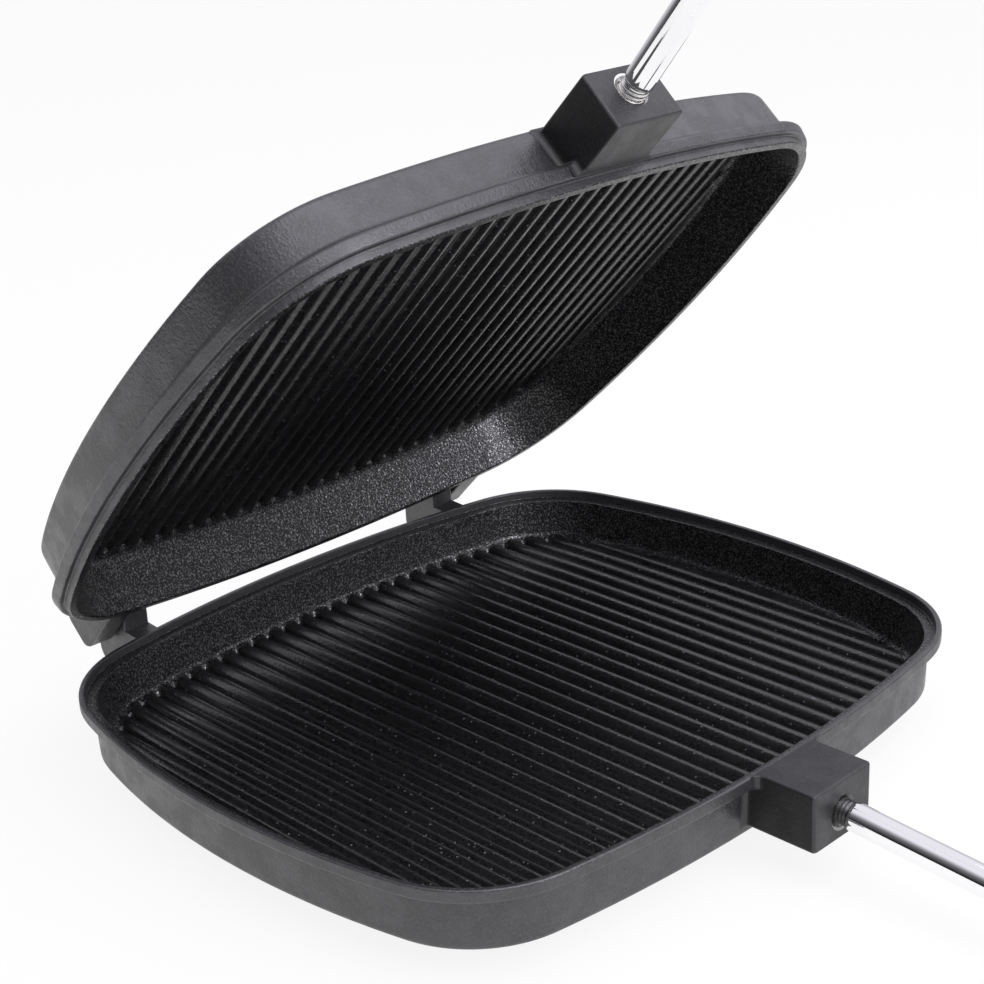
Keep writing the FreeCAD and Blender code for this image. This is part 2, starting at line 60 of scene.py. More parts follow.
# Outline of the head, in millimetres: bowed sides and round corners as tangent arcs
head = {
    "halfLength": 100.0, "halfWidth": 116.0, "handleSideRadius": 478.0, "hingeSideRadius": 414.0,
    "longSideRadius": 271.0, "handleCornerRadius": 38.4, "hingeCornerRadius": 39.8,
}

lidHinge = next(joint for joint in frame["joints"] if joint["name"] == "lid_hinge")
hinge = {
    "x": lidHinge["pos_m"][0] / mm,
    "z": lidHinge["pos_m"][2] / mm,
    "openDegrees": -lidHinge["range_deg"][0],
}


def between(start, stop, steps):
    return [start + (stop - start) * step / steps for step in range(steps + 1)]


longY = head["halfWidth"] - head["longSideRadius"]


# One end: its side and corner radii, the x of the side arc's centre, and the corner arc's centre
def endShape(sideRadius, cornerRadius):
    sideX = head["halfLength"] - sideRadius
    fromSide = sideRadius - cornerRadius
    fromLong = head["longSideRadius"] - cornerRadius
    gap = math.hypot(sideX, longY)
    along = (fromSide ** 2 - fromLong ** 2 + gap ** 2) / (2 * gap)
    across = math.sqrt(fromSide ** 2 - along ** 2)
    wayX, wayY = -sideX / gap, longY / gap
    corner = sideX + along * wayX - across * wayY, along * wayY + across * wayX
    return sideRadius, cornerRadius, sideX, *corner


ends = {
    1: endShape(head["handleSideRadius"], head["handleCornerRadius"]),
    -1: endShape(head["hingeSideRadius"], head["hingeCornerRadius"]),
}


# For points with y at least zero: the arc's centre and radius that each one belongs to
def arcAt(x, y):
    end = 1 if x >= 0 else -1
    sideRadius, cornerRadius, sideX, cornerX, cornerY = ends[end]
    reachX = abs(x)
    if y * (cornerX - sideX) <= cornerY * (reachX - sideX):
        return end * sideX, 0.0, sideRadius
    if reachX * (cornerY - longY) <= cornerX * (y - longY):
        return 0.0, longY, head["longSideRadius"]
    return end * cornerX, cornerY, cornerRadius


def insetAt(x, y):
    centreX, centreY, radius = arcAt(x, abs(y))
    return radius - math.hypot(x - centreX, abs(y) - centreY)


def outwardAt(x, y):
    centreX, centreY, _ = arcAt(x, abs(y))
    way = Vector((x - centreX, abs(y) - centreY)).normalized()
    return way.x, way.y if y >= 0 else -way.y


def outlineReach(end, inset, y):
    y = abs(y)
    sideRadius, cornerRadius, sideX, cornerX, cornerY = ends[end]
    sideLimit = (sideRadius - inset) * cornerY / math.hypot(cornerX - sideX, cornerY)
    if y <= sideLimit:
        return sideX + math.sqrt((sideRadius - inset) ** 2 - y ** 2)
    longWay = (cornerY - longY) / math.hypot(cornerX, cornerY - longY)
    if y <= cornerY + (cornerRadius - inset) * longWay:
        return cornerX + math.sqrt((cornerRadius - inset) ** 2 - (y - cornerY) ** 2)
    return math.sqrt((head["longSideRadius"] - inset) ** 2 - (y - longY) ** 2)


# The outline at an inset on the +Y half, as a chain from the handle end to the hinge end above y = start
def longChain(inset, start, shares):
    steps = 60
    points = []
    for end in (1, -1):
        _, cornerRadius, _, cornerX, cornerY = ends[end]
        radius = cornerRadius - inset
        reach = outlineReach(end, inset, start)
        turn = math.atan2(start - cornerY, reach - cornerX)
        last = math.atan2(cornerY - longY, cornerX)
        arc = between(turn, last, steps)[:-1] if turn < last else []
        side = [(end * (cornerX + radius * math.cos(a)), cornerY + radius * math.sin(a)) for a in arc]
        longRadius = head["longSideRadius"] - inset
        first = max(last, math.atan2(start - longY, reach))
        half = between(first, math.pi / 2, steps)
        side += [(end * longRadius * math.cos(a), longY + longRadius * math.sin(a)) for a in half]
        points.append(side)
    chain = np.array(points[0] + points[1][::-1][1:])
    lengths = np.concatenate([[0], np.cumsum(np.hypot(*np.diff(chain, axis=0).T))])
    spots = np.array(shares) * lengths[-1]
    return list(zip(np.interp(spots, lengths, chain[:, 0]), np.interp(spots, lengths, chain[:, 1])))


# A polyline with each inner corner rounded to its own radius
def roundedLine(points, radii, steps):
    line = [points[0]]
    for before, corner, after, radius in zip(points, points[1:], points[2:], radii):
        a, c, b = Vector(before), Vector(corner), Vector(after)
        wayA, wayB = (a - c).normalized(), (b - c).normalized()
        angle = wayA.angle(wayB)
        cut = min(radius / math.tan(angle / 2), (a - c).length * 0.48, (b - c).length * 0.48)
        start, end = c + wayA * cut, c + wayB * cut
        for t in between(0, 1, steps):
            spot = start * (1 - t) ** 2 + c * 2 * t * (1 - t) + end * t ** 2
            line.append(tuple(spot))
    line.append(points[-1])
    return line


grooves = {
    "pitch": 6.76, "perSide": 15, "depth": 1.8, "mouthHalf": 1.45, "bottomHalf": 0.55,
    "edgeRound": 0.7, "crown": 0.5, "runoutSlope": 3.0, "bottomRise": 0.06, "flankPower": 0.85,
    "columnMarks": (0, 0.3, 0.55, 0.75, 0.95, 1.1, 1.25, 1.38, 1.5, 1.65, 1.85, 2.15, 2.5, 2.9),
    "lastColumn": 3.2,
}

# Insets run inwards from the outline and depths from the rim plane; outward says which way the depth runs
lowerTray = {
    "rim": 20.0, "outward": -1, "depth": 20.0, "floor": 5.0, "footInset": 7.6, "footRadius": 1.8,
    "grooveInset": 8.2, "wallTopInset": 5.1, "wallTopDepth": 2.6,
}

upperTray = {
    "rim": 20.2, "outward": 1, "depth": 18.4, "floor": 4.2, "footInset": 10.2, "footRadius": 2.6,
    "grooveInset": 11.3, "wallTopInset": 5.1, "wallTopDepth": -2.5,
}

rimValues = {
    "lipWidth": 1.8, "tongueInset": 2.3, "tongueDraft": 0.2, "flangeHeight": 3.5,
    "flangeSlope": 2.0, "wallInset": 3.8, "wallDraft": 0.4, "bottomRound": 2.0, "lidTaper": 0.6,
    "bottomInset": 14.0, "wallOverlap": 0.8, "lipRounds": (0.5, 0.35, 0.45),
    "tongueRounds": (0.6, 0.5, 0.35), "flangeRounds": (0.7, 1.0, 1.6),
}


# Height of the groove's surface over the floor at a distance from its middle line
def grooveHeight(distance):
    g = grooves
    if distance <= g["bottomHalf"]:
        return -g["depth"] * (1 - g["bottomRise"] * (distance / g["bottomHalf"]) ** 2)
    share = (distance - g["bottomHalf"]) / (g["mouthHalf"] - g["bottomHalf"])
    if share <= 1:
        return -g["depth"] * (1 - g["bottomRise"]) * (1 - share) ** g["flankPower"]
    return (distance - g["mouthHalf"]) * g["runoutSlope"]


def softMin(a, b, radius):
    gap = max(radius - abs(a - b), 0.0) / radius
    return min(a, b) - gap * gap * radius / 4


# Height of the wall and its rounded foot over the floor, by inset
class Wall:
    def __init__(self, tray):
        rise = tray["depth"] - tray["floor"] - tray["wallTopDepth"]
        run = tray["footInset"] - tray["wallTopInset"]
        self.slope = rise / run
        self.foot = tray["footInset"]
        self.radius = tray["footRadius"]
        lean = math.atan2(rise, run)
        tangent = self.radius * math.tan(lean / 2)
        self.footEnd = self.foot + tangent
        self.arcTop = self.foot - tangent * math.cos(lean)
        self.edgeInset = self.arcTop - division["edgeGap"]

    def height(self, inset):
        if inset >= self.footEnd:
            return 0.0
        if inset >= self.arcTop:
            reach = self.footEnd - inset
            return self.radius - math.sqrt(max(self.radius ** 2 - reach ** 2, 0.0))
        return (self.foot - inset) * self.slope


def grooveColumns():
    g = grooves
    columns = set()
    for step in range(g["perSide"]):
        centre = (step + 0.5) * g["pitch"]
        for mark in (*g["columnMarks"], g["pitch"] / 2):
            columns |= {round(centre + mark, 4), round(centre - mark, 4)}
    last = (g["perSide"] - 0.5) * g["pitch"] + g["lastColumn"]
    columns = {value for value in columns if value < last - 0.1} | {last}
    return sorted({-value for value in columns} | columns)


def plateHeight(tray, wall, x, y):
    g = grooves
    inset = insetAt(x, y)
    high = wall.height(inset)
    index = min(int(abs(y) / g["pitch"]), g["perSide"] - 1)
    centre = (index + 0.5) * g["pitch"]
    aside = abs(abs(y) - centre)
    end = 1 if x >= 0 else -1
    stop = outlineReach(end, tray["grooveInset"], centre + g["mouthHalf"]) - g["mouthHalf"]
    beyond = max(abs(x) - stop, 0.0)
    cut = grooveHeight(math.hypot(aside, beyond))
    fade = min(max((inset - wall.foot) / (wall.footEnd - wall.foot), 0.0), 1.0)
    fromCrest = min((g["pitch"] / 2 - aside) / (g["pitch"] / 2 - g["mouthHalf"]), 1.0)
    high -= g["crown"] * fromCrest ** 2 * fade
    return softMin(high, cut, g["edgeRound"])


# How the trays are divided: close rows near both ends of the plate, wide ones between
division = {
    "edgeGap": 0.4, "nearReach": 3.6,
    "nearShares": [step * 0.04 for step in range(18)] + [0.73, 0.79, 0.88, 1], "spreadLimit": 0.25,
    "plateRows": 26, "patchShares": (0.25, 0.45, 0.6, 0.72, 0.82, 0.9, 0.96, 1.0),
    "ringSpacing": 1.7, "insideStrips": 12, "footMargin": 1.0, "floorMargin": 0.15,
}


# Finishes. Groups hold what several finishes share: each has named inputs and puts out masks or heights
def newGroup(name, inputs, outputs):
    group = bpy.data.node_groups.new(name, "ShaderNodeTree")
    for label, kind, value in inputs:
        socket = group.interface.new_socket(name=label, in_out="INPUT", socket_type="NodeSocket" + kind)
        if value is not None:
            socket.default_value = value
    for label, kind in outputs:
        group.interface.new_socket(name=label, in_out="OUTPUT", socket_type="NodeSocket" + kind)
    return group, group.nodes.new("NodeGroupInput"), group.nodes.new("NodeGroupOutput")


def putOut(group, exit, **values):
    for label, value in values.items():
        group.links.new(value, exit.inputs[label])


def connect(tree, source, target):
    if isinstance(source, (int, float, tuple)):
        target.default_value = source
    else:
        tree.links.new(source, target)


def mathNode(tree, operation, first, second=None, third=None, clamp=False):
    node = tree.nodes.new("ShaderNodeMath")
    node.operation = operation
    node.use_clamp = clamp
    for socket, value in zip(node.inputs, (first, second, third)):
        if value is not None:
            connect(tree, value, socket)
    return node.outputs[0]


def vectorNode(tree, operation, first, second):
    node = tree.nodes.new("ShaderNodeVectorMath")
    node.operation = operation
    connect(tree, first, node.inputs[0])
    connect(tree, second, node.inputs[1])
    return node.outputs["Value" if operation == "DOT_PRODUCT" else "Vector"]


def noiseNode(tree, vector, scale, detail=2.0, roughness=0.5):
    node = tree.nodes.new("ShaderNodeTexNoise")
    tree.links.new(vector, node.inputs["Vector"])
    connect(tree, scale, node.inputs["Scale"])
    node.inputs["Detail"].default_value = detail
    node.inputs["Roughness"].default_value = roughness
    return node.outputs["Fac"]


def rangeNode(tree, value, low, high, toLow=0.0, toHigh=1.0):
    node = tree.nodes.new("ShaderNodeMapRange")
    node.interpolation_type = "SMOOTHSTEP"
    connect(tree, value, node.inputs["Value"])
    for label, number in (("From Min", low), ("From Max", high), ("To Min", toLow), ("To Max", toHigh)):
        connect(tree, number, node.inputs[label])
    return node.outputs["Result"]


def mixColor(tree, mask, first, second):
    node = tree.nodes.new("ShaderNodeMix")
    node.data_type = "RGBA"
    connect(tree, mask, node.inputs["Factor"])
    for label, value in (("A", first), ("B", second)):
        connect(tree, (*value, 1) if isinstance(value, tuple) else value, node.inputs[label])
    return node.outputs["Result"]


# Where each noise begins to count and where it counts in full
limits = {
    "flecks": (0.48, 0.68),
    "mottle": (0.36, 0.66),
    "paintedGlints": (0.12, 0.34),
    "wear": (0.4, 0.7),
    "pores": (0.62, 0.7),
}


# Skin of a casting: an orange peel of soft bumps, a finer grain whose tops shine, mottling, and light
# specks that are painted glints
def castGrainGroup():
    group, entry, exit = newGroup(
        "castGrain",
        [
            ("Peel Size", "Float", 0.0012), ("Peel", "Float", 1.0), ("Grain Size", "Float", 0.0006),
            ("Grain", "Float", 0.4), ("Speck Size", "Float", 0.0012), ("Speck Share", "Float", 0.08),
        ],
        [("Height", "Float"), ("Mottle", "Float"), ("Specks", "Float"), ("Flecks", "Float")],
    )
    place = group.nodes.new("ShaderNodeTexCoord").outputs["Object"]
    peelSize, peelShare, grainSize, grainShare, speckSize, speckShare = entry.outputs[:6]
    peelScale = mathNode(group, "DIVIDE", 1.0, peelSize)
    cells = group.nodes.new("ShaderNodeTexVoronoi")
    cells.feature = "SMOOTH_F1"
    group.links.new(place, cells.inputs["Vector"])
    group.links.new(peelScale, cells.inputs["Scale"])
    bumps = mathNode(group, "SUBTRACT", 1.0, cells.outputs["Distance"])
    soft = noiseNode(group, place, peelScale, 1.5, 0.5)
    peel = mathNode(group, "MULTIPLY", mathNode(group, "ADD", bumps, soft), peelShare)
    fine = noiseNode(group, place, mathNode(group, "DIVIDE", 1.0, grainSize), 1.5, 0.5)
    grain = mathNode(group, "MULTIPLY", fine, grainShare)
    slow = noiseNode(group, place, mathNode(group, "MULTIPLY", peelScale, 0.13), 4.0, 0.62)
    paintedGlints = group.nodes.new("ShaderNodeTexVoronoi")
    group.links.new(place, paintedGlints.inputs["Vector"])
    connect(group, mathNode(group, "DIVIDE", 1.0, speckSize), paintedGlints.inputs["Scale"])
    chosen = mathNode(group, "LESS_THAN", paintedGlints.outputs["Color"], speckShare)
    close = rangeNode(group, paintedGlints.outputs["Distance"], *limits["paintedGlints"], 1.0, 0.0)
    putOut(
        group, exit,
        Height=mathNode(group, "ADD", peel, grain), Specks=mathNode(group, "MULTIPLY", chosen, close),
        Flecks=rangeNode(group, fine, *limits["flecks"]), Mottle=rangeNode(group, slow, *limits["mottle"]),
    )
    return group


# Fine lines left by turning or brushing, along one way of the metal
def brushedGroup():
    group, entry, exit = newGroup(
        "brushedLines",
        [("Vector", "Vector", None), ("Line Size", "Float", 0.0002), ("Stretch", "Float", 0.03)],
        [("Height", "Float"), ("Wear", "Float")],
    )
    vector, lineSize, stretch = entry.outputs[:3]
    scale = mathNode(group, "DIVIDE", 1.0, lineSize)
    stretched = group.nodes.new("ShaderNodeCombineXYZ")
    stretched.inputs[0].default_value = 1.0
    group.links.new(stretch, stretched.inputs[1])
    group.links.new(stretch, stretched.inputs[2])
    place = vectorNode(group, "MULTIPLY", vector, stretched.outputs[0])
    lines = noiseNode(group, place, scale, 3.0, 0.6)
    wear = noiseNode(group, vector, mathNode(group, "MULTIPLY", scale, 0.03), 5.0, 0.65)
    putOut(group, exit, Height=lines, Wear=rangeNode(group, wear, *limits["wear"]))
    return group


# Turned hardwood: growth rings cut across, long fibres and short dark pores
def woodGroup():
    group, entry, exit = newGroup(
        "turnedWood",
        [("Vector", "Vector", None), ("Ring Size", "Float", 0.004), ("Fibre Size", "Float", 0.0006)],
        [("Rings", "Float"), ("Fibres", "Float"), ("Pores", "Float")],
    )
    vector, ringSize, fibreSize = entry.outputs[:3]

    def stretchedPlace(along):
        return vectorNode(group, "MULTIPLY", vector, (along, 1.0, 1.0))

    bend = noiseNode(group, stretchedPlace(0.25), 45.0, 3.0, 0.5)
    split = group.nodes.new("ShaderNodeSeparateXYZ")
    group.links.new(vector, split.inputs[0])
    slant = mathNode(group, "ADD", split.outputs[2], mathNode(group, "MULTIPLY", split.outputs[1], 0.35))
    count = mathNode(group, "DIVIDE", slant, ringSize)
    wobble = mathNode(group, "ADD", count, mathNode(group, "MULTIPLY", bend, 3.2))
    rings = mathNode(group, "POWER", mathNode(group, "FRACT", wobble), 2.2)
    fibreScale = mathNode(group, "DIVIDE", 1.0, fibreSize)
    fibres = noiseNode(group, stretchedPlace(0.04), fibreScale, 4.0, 0.6)
    pores = noiseNode(group, stretchedPlace(0.09), mathNode(group, "MULTIPLY", fibreScale, 1.3), 1.0, 0.5)
    putOut(group, exit, Rings=rings, Fibres=fibres, Pores=rangeNode(group, pores, *limits["pores"]))
    return group


castGrain = castGrainGroup()
brushedLines = brushedGroup()
turnedWood = woodGroup()


def newMaterial(name):
    material = bpy.data.materials.new(name)
    material.use_nodes = True
    return material, material.node_tree, material.node_tree.nodes["Principled BSDF"]


def placeGroup(tree, group, **values):
    node = tree.nodes.new("ShaderNodeGroup")
    node.node_tree = group
    for label, value in values.items():
        node.inputs[label.replace("_", " ")].default_value = value
    return node


def dress(tree, shader, color, gloss, height, depth):
    tree.links.new(color, shader.inputs["Base Color"])
    tree.links.new(gloss, shader.inputs["Roughness"])
    bump = tree.nodes.new("ShaderNodeBump")
    bump.inputs["Distance"].default_value = depth
    tree.links.new(height, bump.inputs["Height"])
    tree.links.new(bump.outputs["Normal"], shader.inputs["Normal"])


# Each finish's glint colour is for light specks painted into the base colour as glints of the grain
castFinishes = {
    "castOutside": {
        "dark": (0.016, 0.0158, 0.018), "light": (0.027, 0.0266, 0.0298), "glintColor": (0.06, 0.06, 0.065),
        "fleck": 0.07, "metal": 0.35, "smooth": 0.34, "rough": 0.44, "gloss": 1.0,
        "peelSize": 0.0010, "peel": 0.45, "grain": 0.8,
        "speckSize": 0.0014, "speckShare": 0.04, "depth": 0.00013,
    },
    "castInside": {
        "dark": (0.001, 0.001, 0.0012), "light": (0.0022, 0.0022, 0.0026), "glintColor": (0.14, 0.14, 0.15),
        "fleck": 0.20, "metal": 1.0, "smooth": 0.28, "rough": 0.34, "gloss": 0.45,
        "peelSize": 0.0008, "peel": 0.9, "grain": 0.7,
        "speckSize": 0.0010, "speckShare": 0.08, "depth": 0.00010,
    },
    "castPlate": {
        "dark": (0.0015, 0.0015, 0.0018), "light": (0.0035, 0.0035, 0.004), "glintColor": (0.16, 0.16, 0.17),
        "fleck": 0.075, "metal": 1.0, "smooth": 0.22, "rough": 0.30, "gloss": 0.95,
        "peelSize": 0.0012, "peel": 0.5, "grain": 0.9,
        "speckSize": 0.0012, "speckShare": 0.20, "depth": 0.00006,
    },
    "castBoss": {
        "dark": (0.012, 0.012, 0.0135), "light": (0.018, 0.018, 0.020), "glintColor": (0.04, 0.04, 0.045),
        "fleck": 0.03, "metal": 0.1, "smooth": 0.42, "rough": 0.50, "gloss": 0.7,
        "peelSize": 0.0014, "peel": 0.5, "grain": 0.7,
        "speckSize": 0.0016, "speckShare": 0.02, "depth": 0.00007,
    },
    # Boss sides: a darker copy of the boss finish, painted shade for the shade that falls on the boss's ±Y
    # sides
    "castBossShadedSide": {
        "dark": (0.005, 0.005, 0.0056), "light": (0.008, 0.008, 0.009), "glintColor": (0.03, 0.03, 0.033),
        "fleck": 0.015, "metal": 0.1, "smooth": 0.55, "rough": 0.64, "gloss": 0.4,
        "peelSize": 0.0014, "peel": 0.6, "grain": 0.8,
        "speckSize": 0.0016, "speckShare": 0.02, "depth": 0.00009,
    },
}


def castMaterial(name):
    c = castFinishes[name]
    material, tree, shader = newMaterial(name)
    shader.inputs["Specular IOR Level"].default_value = c["gloss"]
    skin = placeGroup(
        tree, castGrain, Peel_Size=c["peelSize"], Peel=c["peel"], Grain=c["grain"],
        Speck_Size=c["speckSize"], Speck_Share=c["speckShare"],
    )
    base = mixColor(tree, skin.outputs["Mottle"], c["dark"], c["light"])
    base = mixColor(tree, skin.outputs["Flecks"], base, (c["fleck"],) * 3)
    metal = mathNode(tree, "MULTIPLY", skin.outputs["Flecks"], c["metal"])
    tree.links.new(metal, shader.inputs["Metallic"])
    # Painted glints: light specks mixed into the base colour
    color = mixColor(tree, skin.outputs["Specks"], base, c["glintColor"])
    gloss = rangeNode(tree, skin.outputs["Mottle"], 0.0, 1.0, c["rough"], c["smooth"])
    dress(tree, shader, color, gloss, skin.outputs["Height"], c["depth"])
    return material


metalFinishes = {
    "chromed": {
        "color": (0.96, 0.96, 0.965), "worn": (0.91, 0.91, 0.92), "smooth": 0.03, "rough": 0.08,
        "lineSize": 0.0009, "stretch": 0.6, "depth": 0.000004,
    },
    "plated": {
        "color": (0.76, 0.755, 0.74), "worn": (0.62, 0.61, 0.60), "smooth": 0.16, "rough": 0.30,
        "lineSize": 0.00022, "stretch": 0.05, "depth": 0.000012,
    },
    "pinSteel": {
        "color": (0.50, 0.49, 0.48), "worn": (0.34, 0.33, 0.32), "smooth": 0.28, "rough": 0.42,
        "lineSize": 0.0003, "stretch": 0.4, "depth": 0.00002,
    },
    "hookSteel": {
        "color": (0.70, 0.70, 0.70), "worn": (0.55, 0.55, 0.54), "smooth": 0.22, "rough": 0.36,
        "lineSize": 0.00025, "stretch": 0.04, "depth": 0.000015, "turn": 90.0,
    },
    # Bore of the lower boss: darker metal than the upper's alike bore, painted shade
    "boredMetalShaded": {
        "color": (0.28, 0.28, 0.28), "worn": (0.18, 0.18, 0.18), "smooth": 0.24, "rough": 0.38,
        "lineSize": 0.0002, "stretch": 0.1, "depth": 0.00002,
    },
    # Thread of the lower rod: a darker steel than the upper rod's alike thread, painted shade
    "threadSteelShaded": {
        "color": (0.30, 0.30, 0.30), "worn": (0.22, 0.22, 0.22), "smooth": 0.26, "rough": 0.38,
        "lineSize": 0.0003, "stretch": 0.5, "depth": 0.00001,
    },
}


def turnedPlace(tree, degrees):
    mapping = tree.nodes.new("ShaderNodeMapping")
    mapping.inputs["Rotation"].default_value = (0, math.radians(degrees), 0)
    tree.links.new(tree.nodes.new("ShaderNodeTexCoord").outputs["Object"], mapping.inputs["Vector"])
    return mapping.outputs["Vector"]


def metalMaterial(name):
    m = metalFinishes[name]
    material, tree, shader = newMaterial(name)
    shader.inputs["Metallic"].default_value = 1.0
    lines = placeGroup(tree, brushedLines, Line_Size=m["lineSize"], Stretch=m["stretch"])
    tree.links.new(turnedPlace(tree, m.get("turn", 0.0)), lines.inputs["Vector"])
    color = mixColor(tree, lines.outputs["Wear"], m["color"], m["worn"])
    gloss = rangeNode(tree, lines.outputs["Wear"], 0.0, 1.0, m["smooth"], m["rough"])
    dress(tree, shader, color, gloss, lines.outputs["Height"], m["depth"])
    return material


wood = {
    "pale": (0.36, 0.185, 0.085), "deep": (0.19, 0.085, 0.036), "pore": (0.06, 0.028, 0.014),
    "ringSize": 0.0042, "fibreSize": 0.0007, "smooth": 0.34, "rough": 0.52, "depth": 0.00006,
    "turns": {"gripWoodLower": 0.0, "gripWoodUpper": hinge["openDegrees"]},
}


def woodMaterial(name):
    w = wood
    material, tree, shader = newMaterial(name)
    grain = placeGroup(tree, turnedWood, Ring_Size=w["ringSize"], Fibre_Size=w["fibreSize"])
    tree.links.new(turnedPlace(tree, w["turns"][name]), grain.inputs["Vector"])
    rings = mathNode(tree, "MULTIPLY", grain.outputs["Rings"], 0.75)
    fibres = mathNode(tree, "MULTIPLY", grain.outputs["Fibres"], 0.4)
    blend = mathNode(tree, "ADD", rings, fibres, clamp=True)
    base = mixColor(tree, blend, w["pale"], w["deep"])
    color = mixColor(tree, grain.outputs["Pores"], base, w["pore"])
    gloss = rangeNode(tree, grain.outputs["Fibres"], 0.3, 0.7, w["smooth"], w["rough"])
    height = mathNode(tree, "SUBTRACT", grain.outputs["Fibres"], grain.outputs["Pores"])
    dress(tree, shader, color, gloss, height, w["depth"])
    return material


finishes = {name: castMaterial(name) for name in castFinishes}
finishes |= {name: metalMaterial(name) for name in metalFinishes}
finishes |= {name: woodMaterial(name) for name in wood["turns"]}
print("mixed the finishes")


# A place in the scene, at a height over the tray's floor
def trayPlace(tray, x, y, height):
    depth = tray["depth"] - tray["floor"] - height
    return Vector((x, y, tray["rim"] + tray["outward"] * depth)) * mm


# The places across one row of the plate, from its hinge end to its handle end
def rowXs(tray, wall, y):
    d = division
    reachIn = tray["grooveInset"] + d["nearReach"] - wall.edgeInset
    nearSteps = [reachIn * share for share in d["nearShares"]]
    reach = {end: outlineReach(end, wall.edgeInset, y) for end in (1, -1)}
    lean = {end: abs(outwardAt(end * reach[end], y)[0]) for end in (1, -1)}
    spread = {end: 1 / max(lean[end], d["spreadLimit"]) for end in (1, -1)}
    hingeSide = [-reach[-1] + spread[-1] * step for step in nearSteps]
    handleSide = [reach[1] - spread[1] * step for step in nearSteps]
    middle = between(hingeSide[-1], handleSide[-1], d["plateRows"])[1:-1]
    return hingeSide + middle + handleSide[::-1]


# A long side beyond the plate's last row at y = start, in rows that bend into the outline
def sidePatch(bm, tray, wall, row, start, side):
    xs = [vert.co.x / mm for vert in row]
    shares = [(xs[-1] - x) / (xs[-1] - xs[0]) for x in xs[::-1]]
    chain = longChain(wall.edgeInset, start, shares)[::-1]
    faces = []
    previous = row
    for share in division["patchShares"]:
        current = [row[0]]
        for vert, spot in list(zip(row, chain))[1:-1]:
            x = vert.co.x / mm * (1 - share) + spot[0] * share
            y = start * (1 - share) + spot[1] * share
            height = wall.height(insetAt(x, y))
            current.append(bm.verts.new(trayPlace(tray, x, side * y, height)))
        current.append(row[-1])
        for index in range(len(row) - 1):
            corners = [previous[index], previous[index + 1], current[index + 1], current[index]]
            unique = [vert for spot, vert in enumerate(corners) if vert not in corners[:spot]]
            if side < 0:
                unique.reverse()
            if len(unique) > 2:
                faces.append(bm.faces.new(unique))
        previous = current
    return previous, faces


# Strips out from the loop round the plate, over the rim to the flat bottom; the first meets a coarser loop
def rimStrips(bm, tray, wall, loop, profile):
    picked = [0]
    for index in range(1, len(loop)):
        if (loop[index].co - loop[picked[-1]].co).length >= division["ringSpacing"] * mm:
            picked.append(index)
    spots = [(loop[index].co.x / mm, loop[index].co.y / mm) for index in picked]
    ways = [outwardAt(x, y) for x, y in spots]
    previous = None
    strips = []
    for inset, depth in profile:
        move = wall.edgeInset - inset
        z = tray["rim"] + tray["outward"] * depth
        ring = [
            bm.verts.new(Vector((x + wayX * move, y + wayY * move, z)) * mm)
            for (x, y), (wayX, wayY) in zip(spots, ways)
        ]
        strip = []
        for index in range(len(ring)):
            after = (index + 1) % len(ring)
            if previous is None:
                stop = picked[after] if after else len(loop)
                dense = [loop[step % len(loop)] for step in range(picked[index], stop + 1)]
                strip.append(bm.faces.new(dense + [ring[after], ring[index]]))
            else:
                strip.append(bm.faces.new((previous[index], previous[after], ring[after], ring[index])))
        strips.append(strip)
        previous = ring
    bm.faces.new(previous)
    return strips


# The inside of a tray as one grid, closed by two long-side patches, then the rim and the outside
def trayMesh(tray, profile):
    wall = Wall(tray)
    ys = grooveColumns()
    bm = bmesh.new()
    grid = []
    for y in ys:
        spots = [(x, y, plateHeight(tray, wall, x, y)) for x in rowXs(tray, wall, y)]
        grid.append([bm.verts.new(trayPlace(tray, *spot)) for spot in spots])
    insideFaces = []
    for first, second in zip(grid, grid[1:]):
        for corners in zip(first, first[1:], second[1:], second):
            insideFaces.append(bm.faces.new(corners))
    farRow, farFaces = sidePatch(bm, tray, wall, grid[-1], ys[-1], 1)
    nearRow, nearFaces = sidePatch(bm, tray, wall, grid[0], ys[-1], -1)
    handleColumn = [row[-1] for row in grid]
    hingeColumn = [row[0] for row in grid]
    loop = handleColumn + farRow[::-1][1:] + hingeColumn[::-1][1:] + nearRow[1:-1]
    strips = rimStrips(bm, tray, wall, loop, profile)
    return bm, insideFaces + farFaces + nearFaces, strips


# Inset and depth of the rim and the outside, from the inner wall to the flat bottom
def rimProfile(tray):
    r = rimValues
    wall = Wall(tray)
    flange = r["flangeHeight"] + r["flangeSlope"]
    startInset = wall.arcTop - r["wallOverlap"]
    points = [
        (startInset, tray["depth"] - tray["floor"] - (tray["footInset"] - startInset) * wall.slope),
        (tray["wallTopInset"], tray["wallTopDepth"]),
    ]
    if tray["outward"] < 0:
        points += [(r["lipWidth"] + 0.1, tray["wallTopDepth"]), (r["lipWidth"] - 0.05, 0.0), (0.0, 0.0)]
        rounds = r["lipRounds"]
    else:
        points += [(r["tongueInset"] + r["tongueDraft"], tray["wallTopDepth"]), (r["tongueInset"], 0.0)]
        points += [(r["lidTaper"], 0.0)]
        rounds = r["tongueRounds"]
    points += [
        (0.0, r["flangeHeight"]),
        (r["wallInset"], flange),
        (r["wallInset"] + r["wallDraft"], tray["depth"]),
        (r["bottomInset"], tray["depth"]),
    ]
    return roundedLine(points, (*rounds, *r["flangeRounds"], r["bottomRound"]), 5)


def outerInset(depth):
    r = rimValues
    flange = r["flangeHeight"] + r["flangeSlope"]
    if depth <= r["flangeHeight"]:
        return 0.0
    if depth <= flange:
        return r["wallInset"] * (depth - r["flangeHeight"]) / r["flangeSlope"]
    return r["wallInset"] + r["wallDraft"] * (depth - flange) / (lowerTray["depth"] - flange)


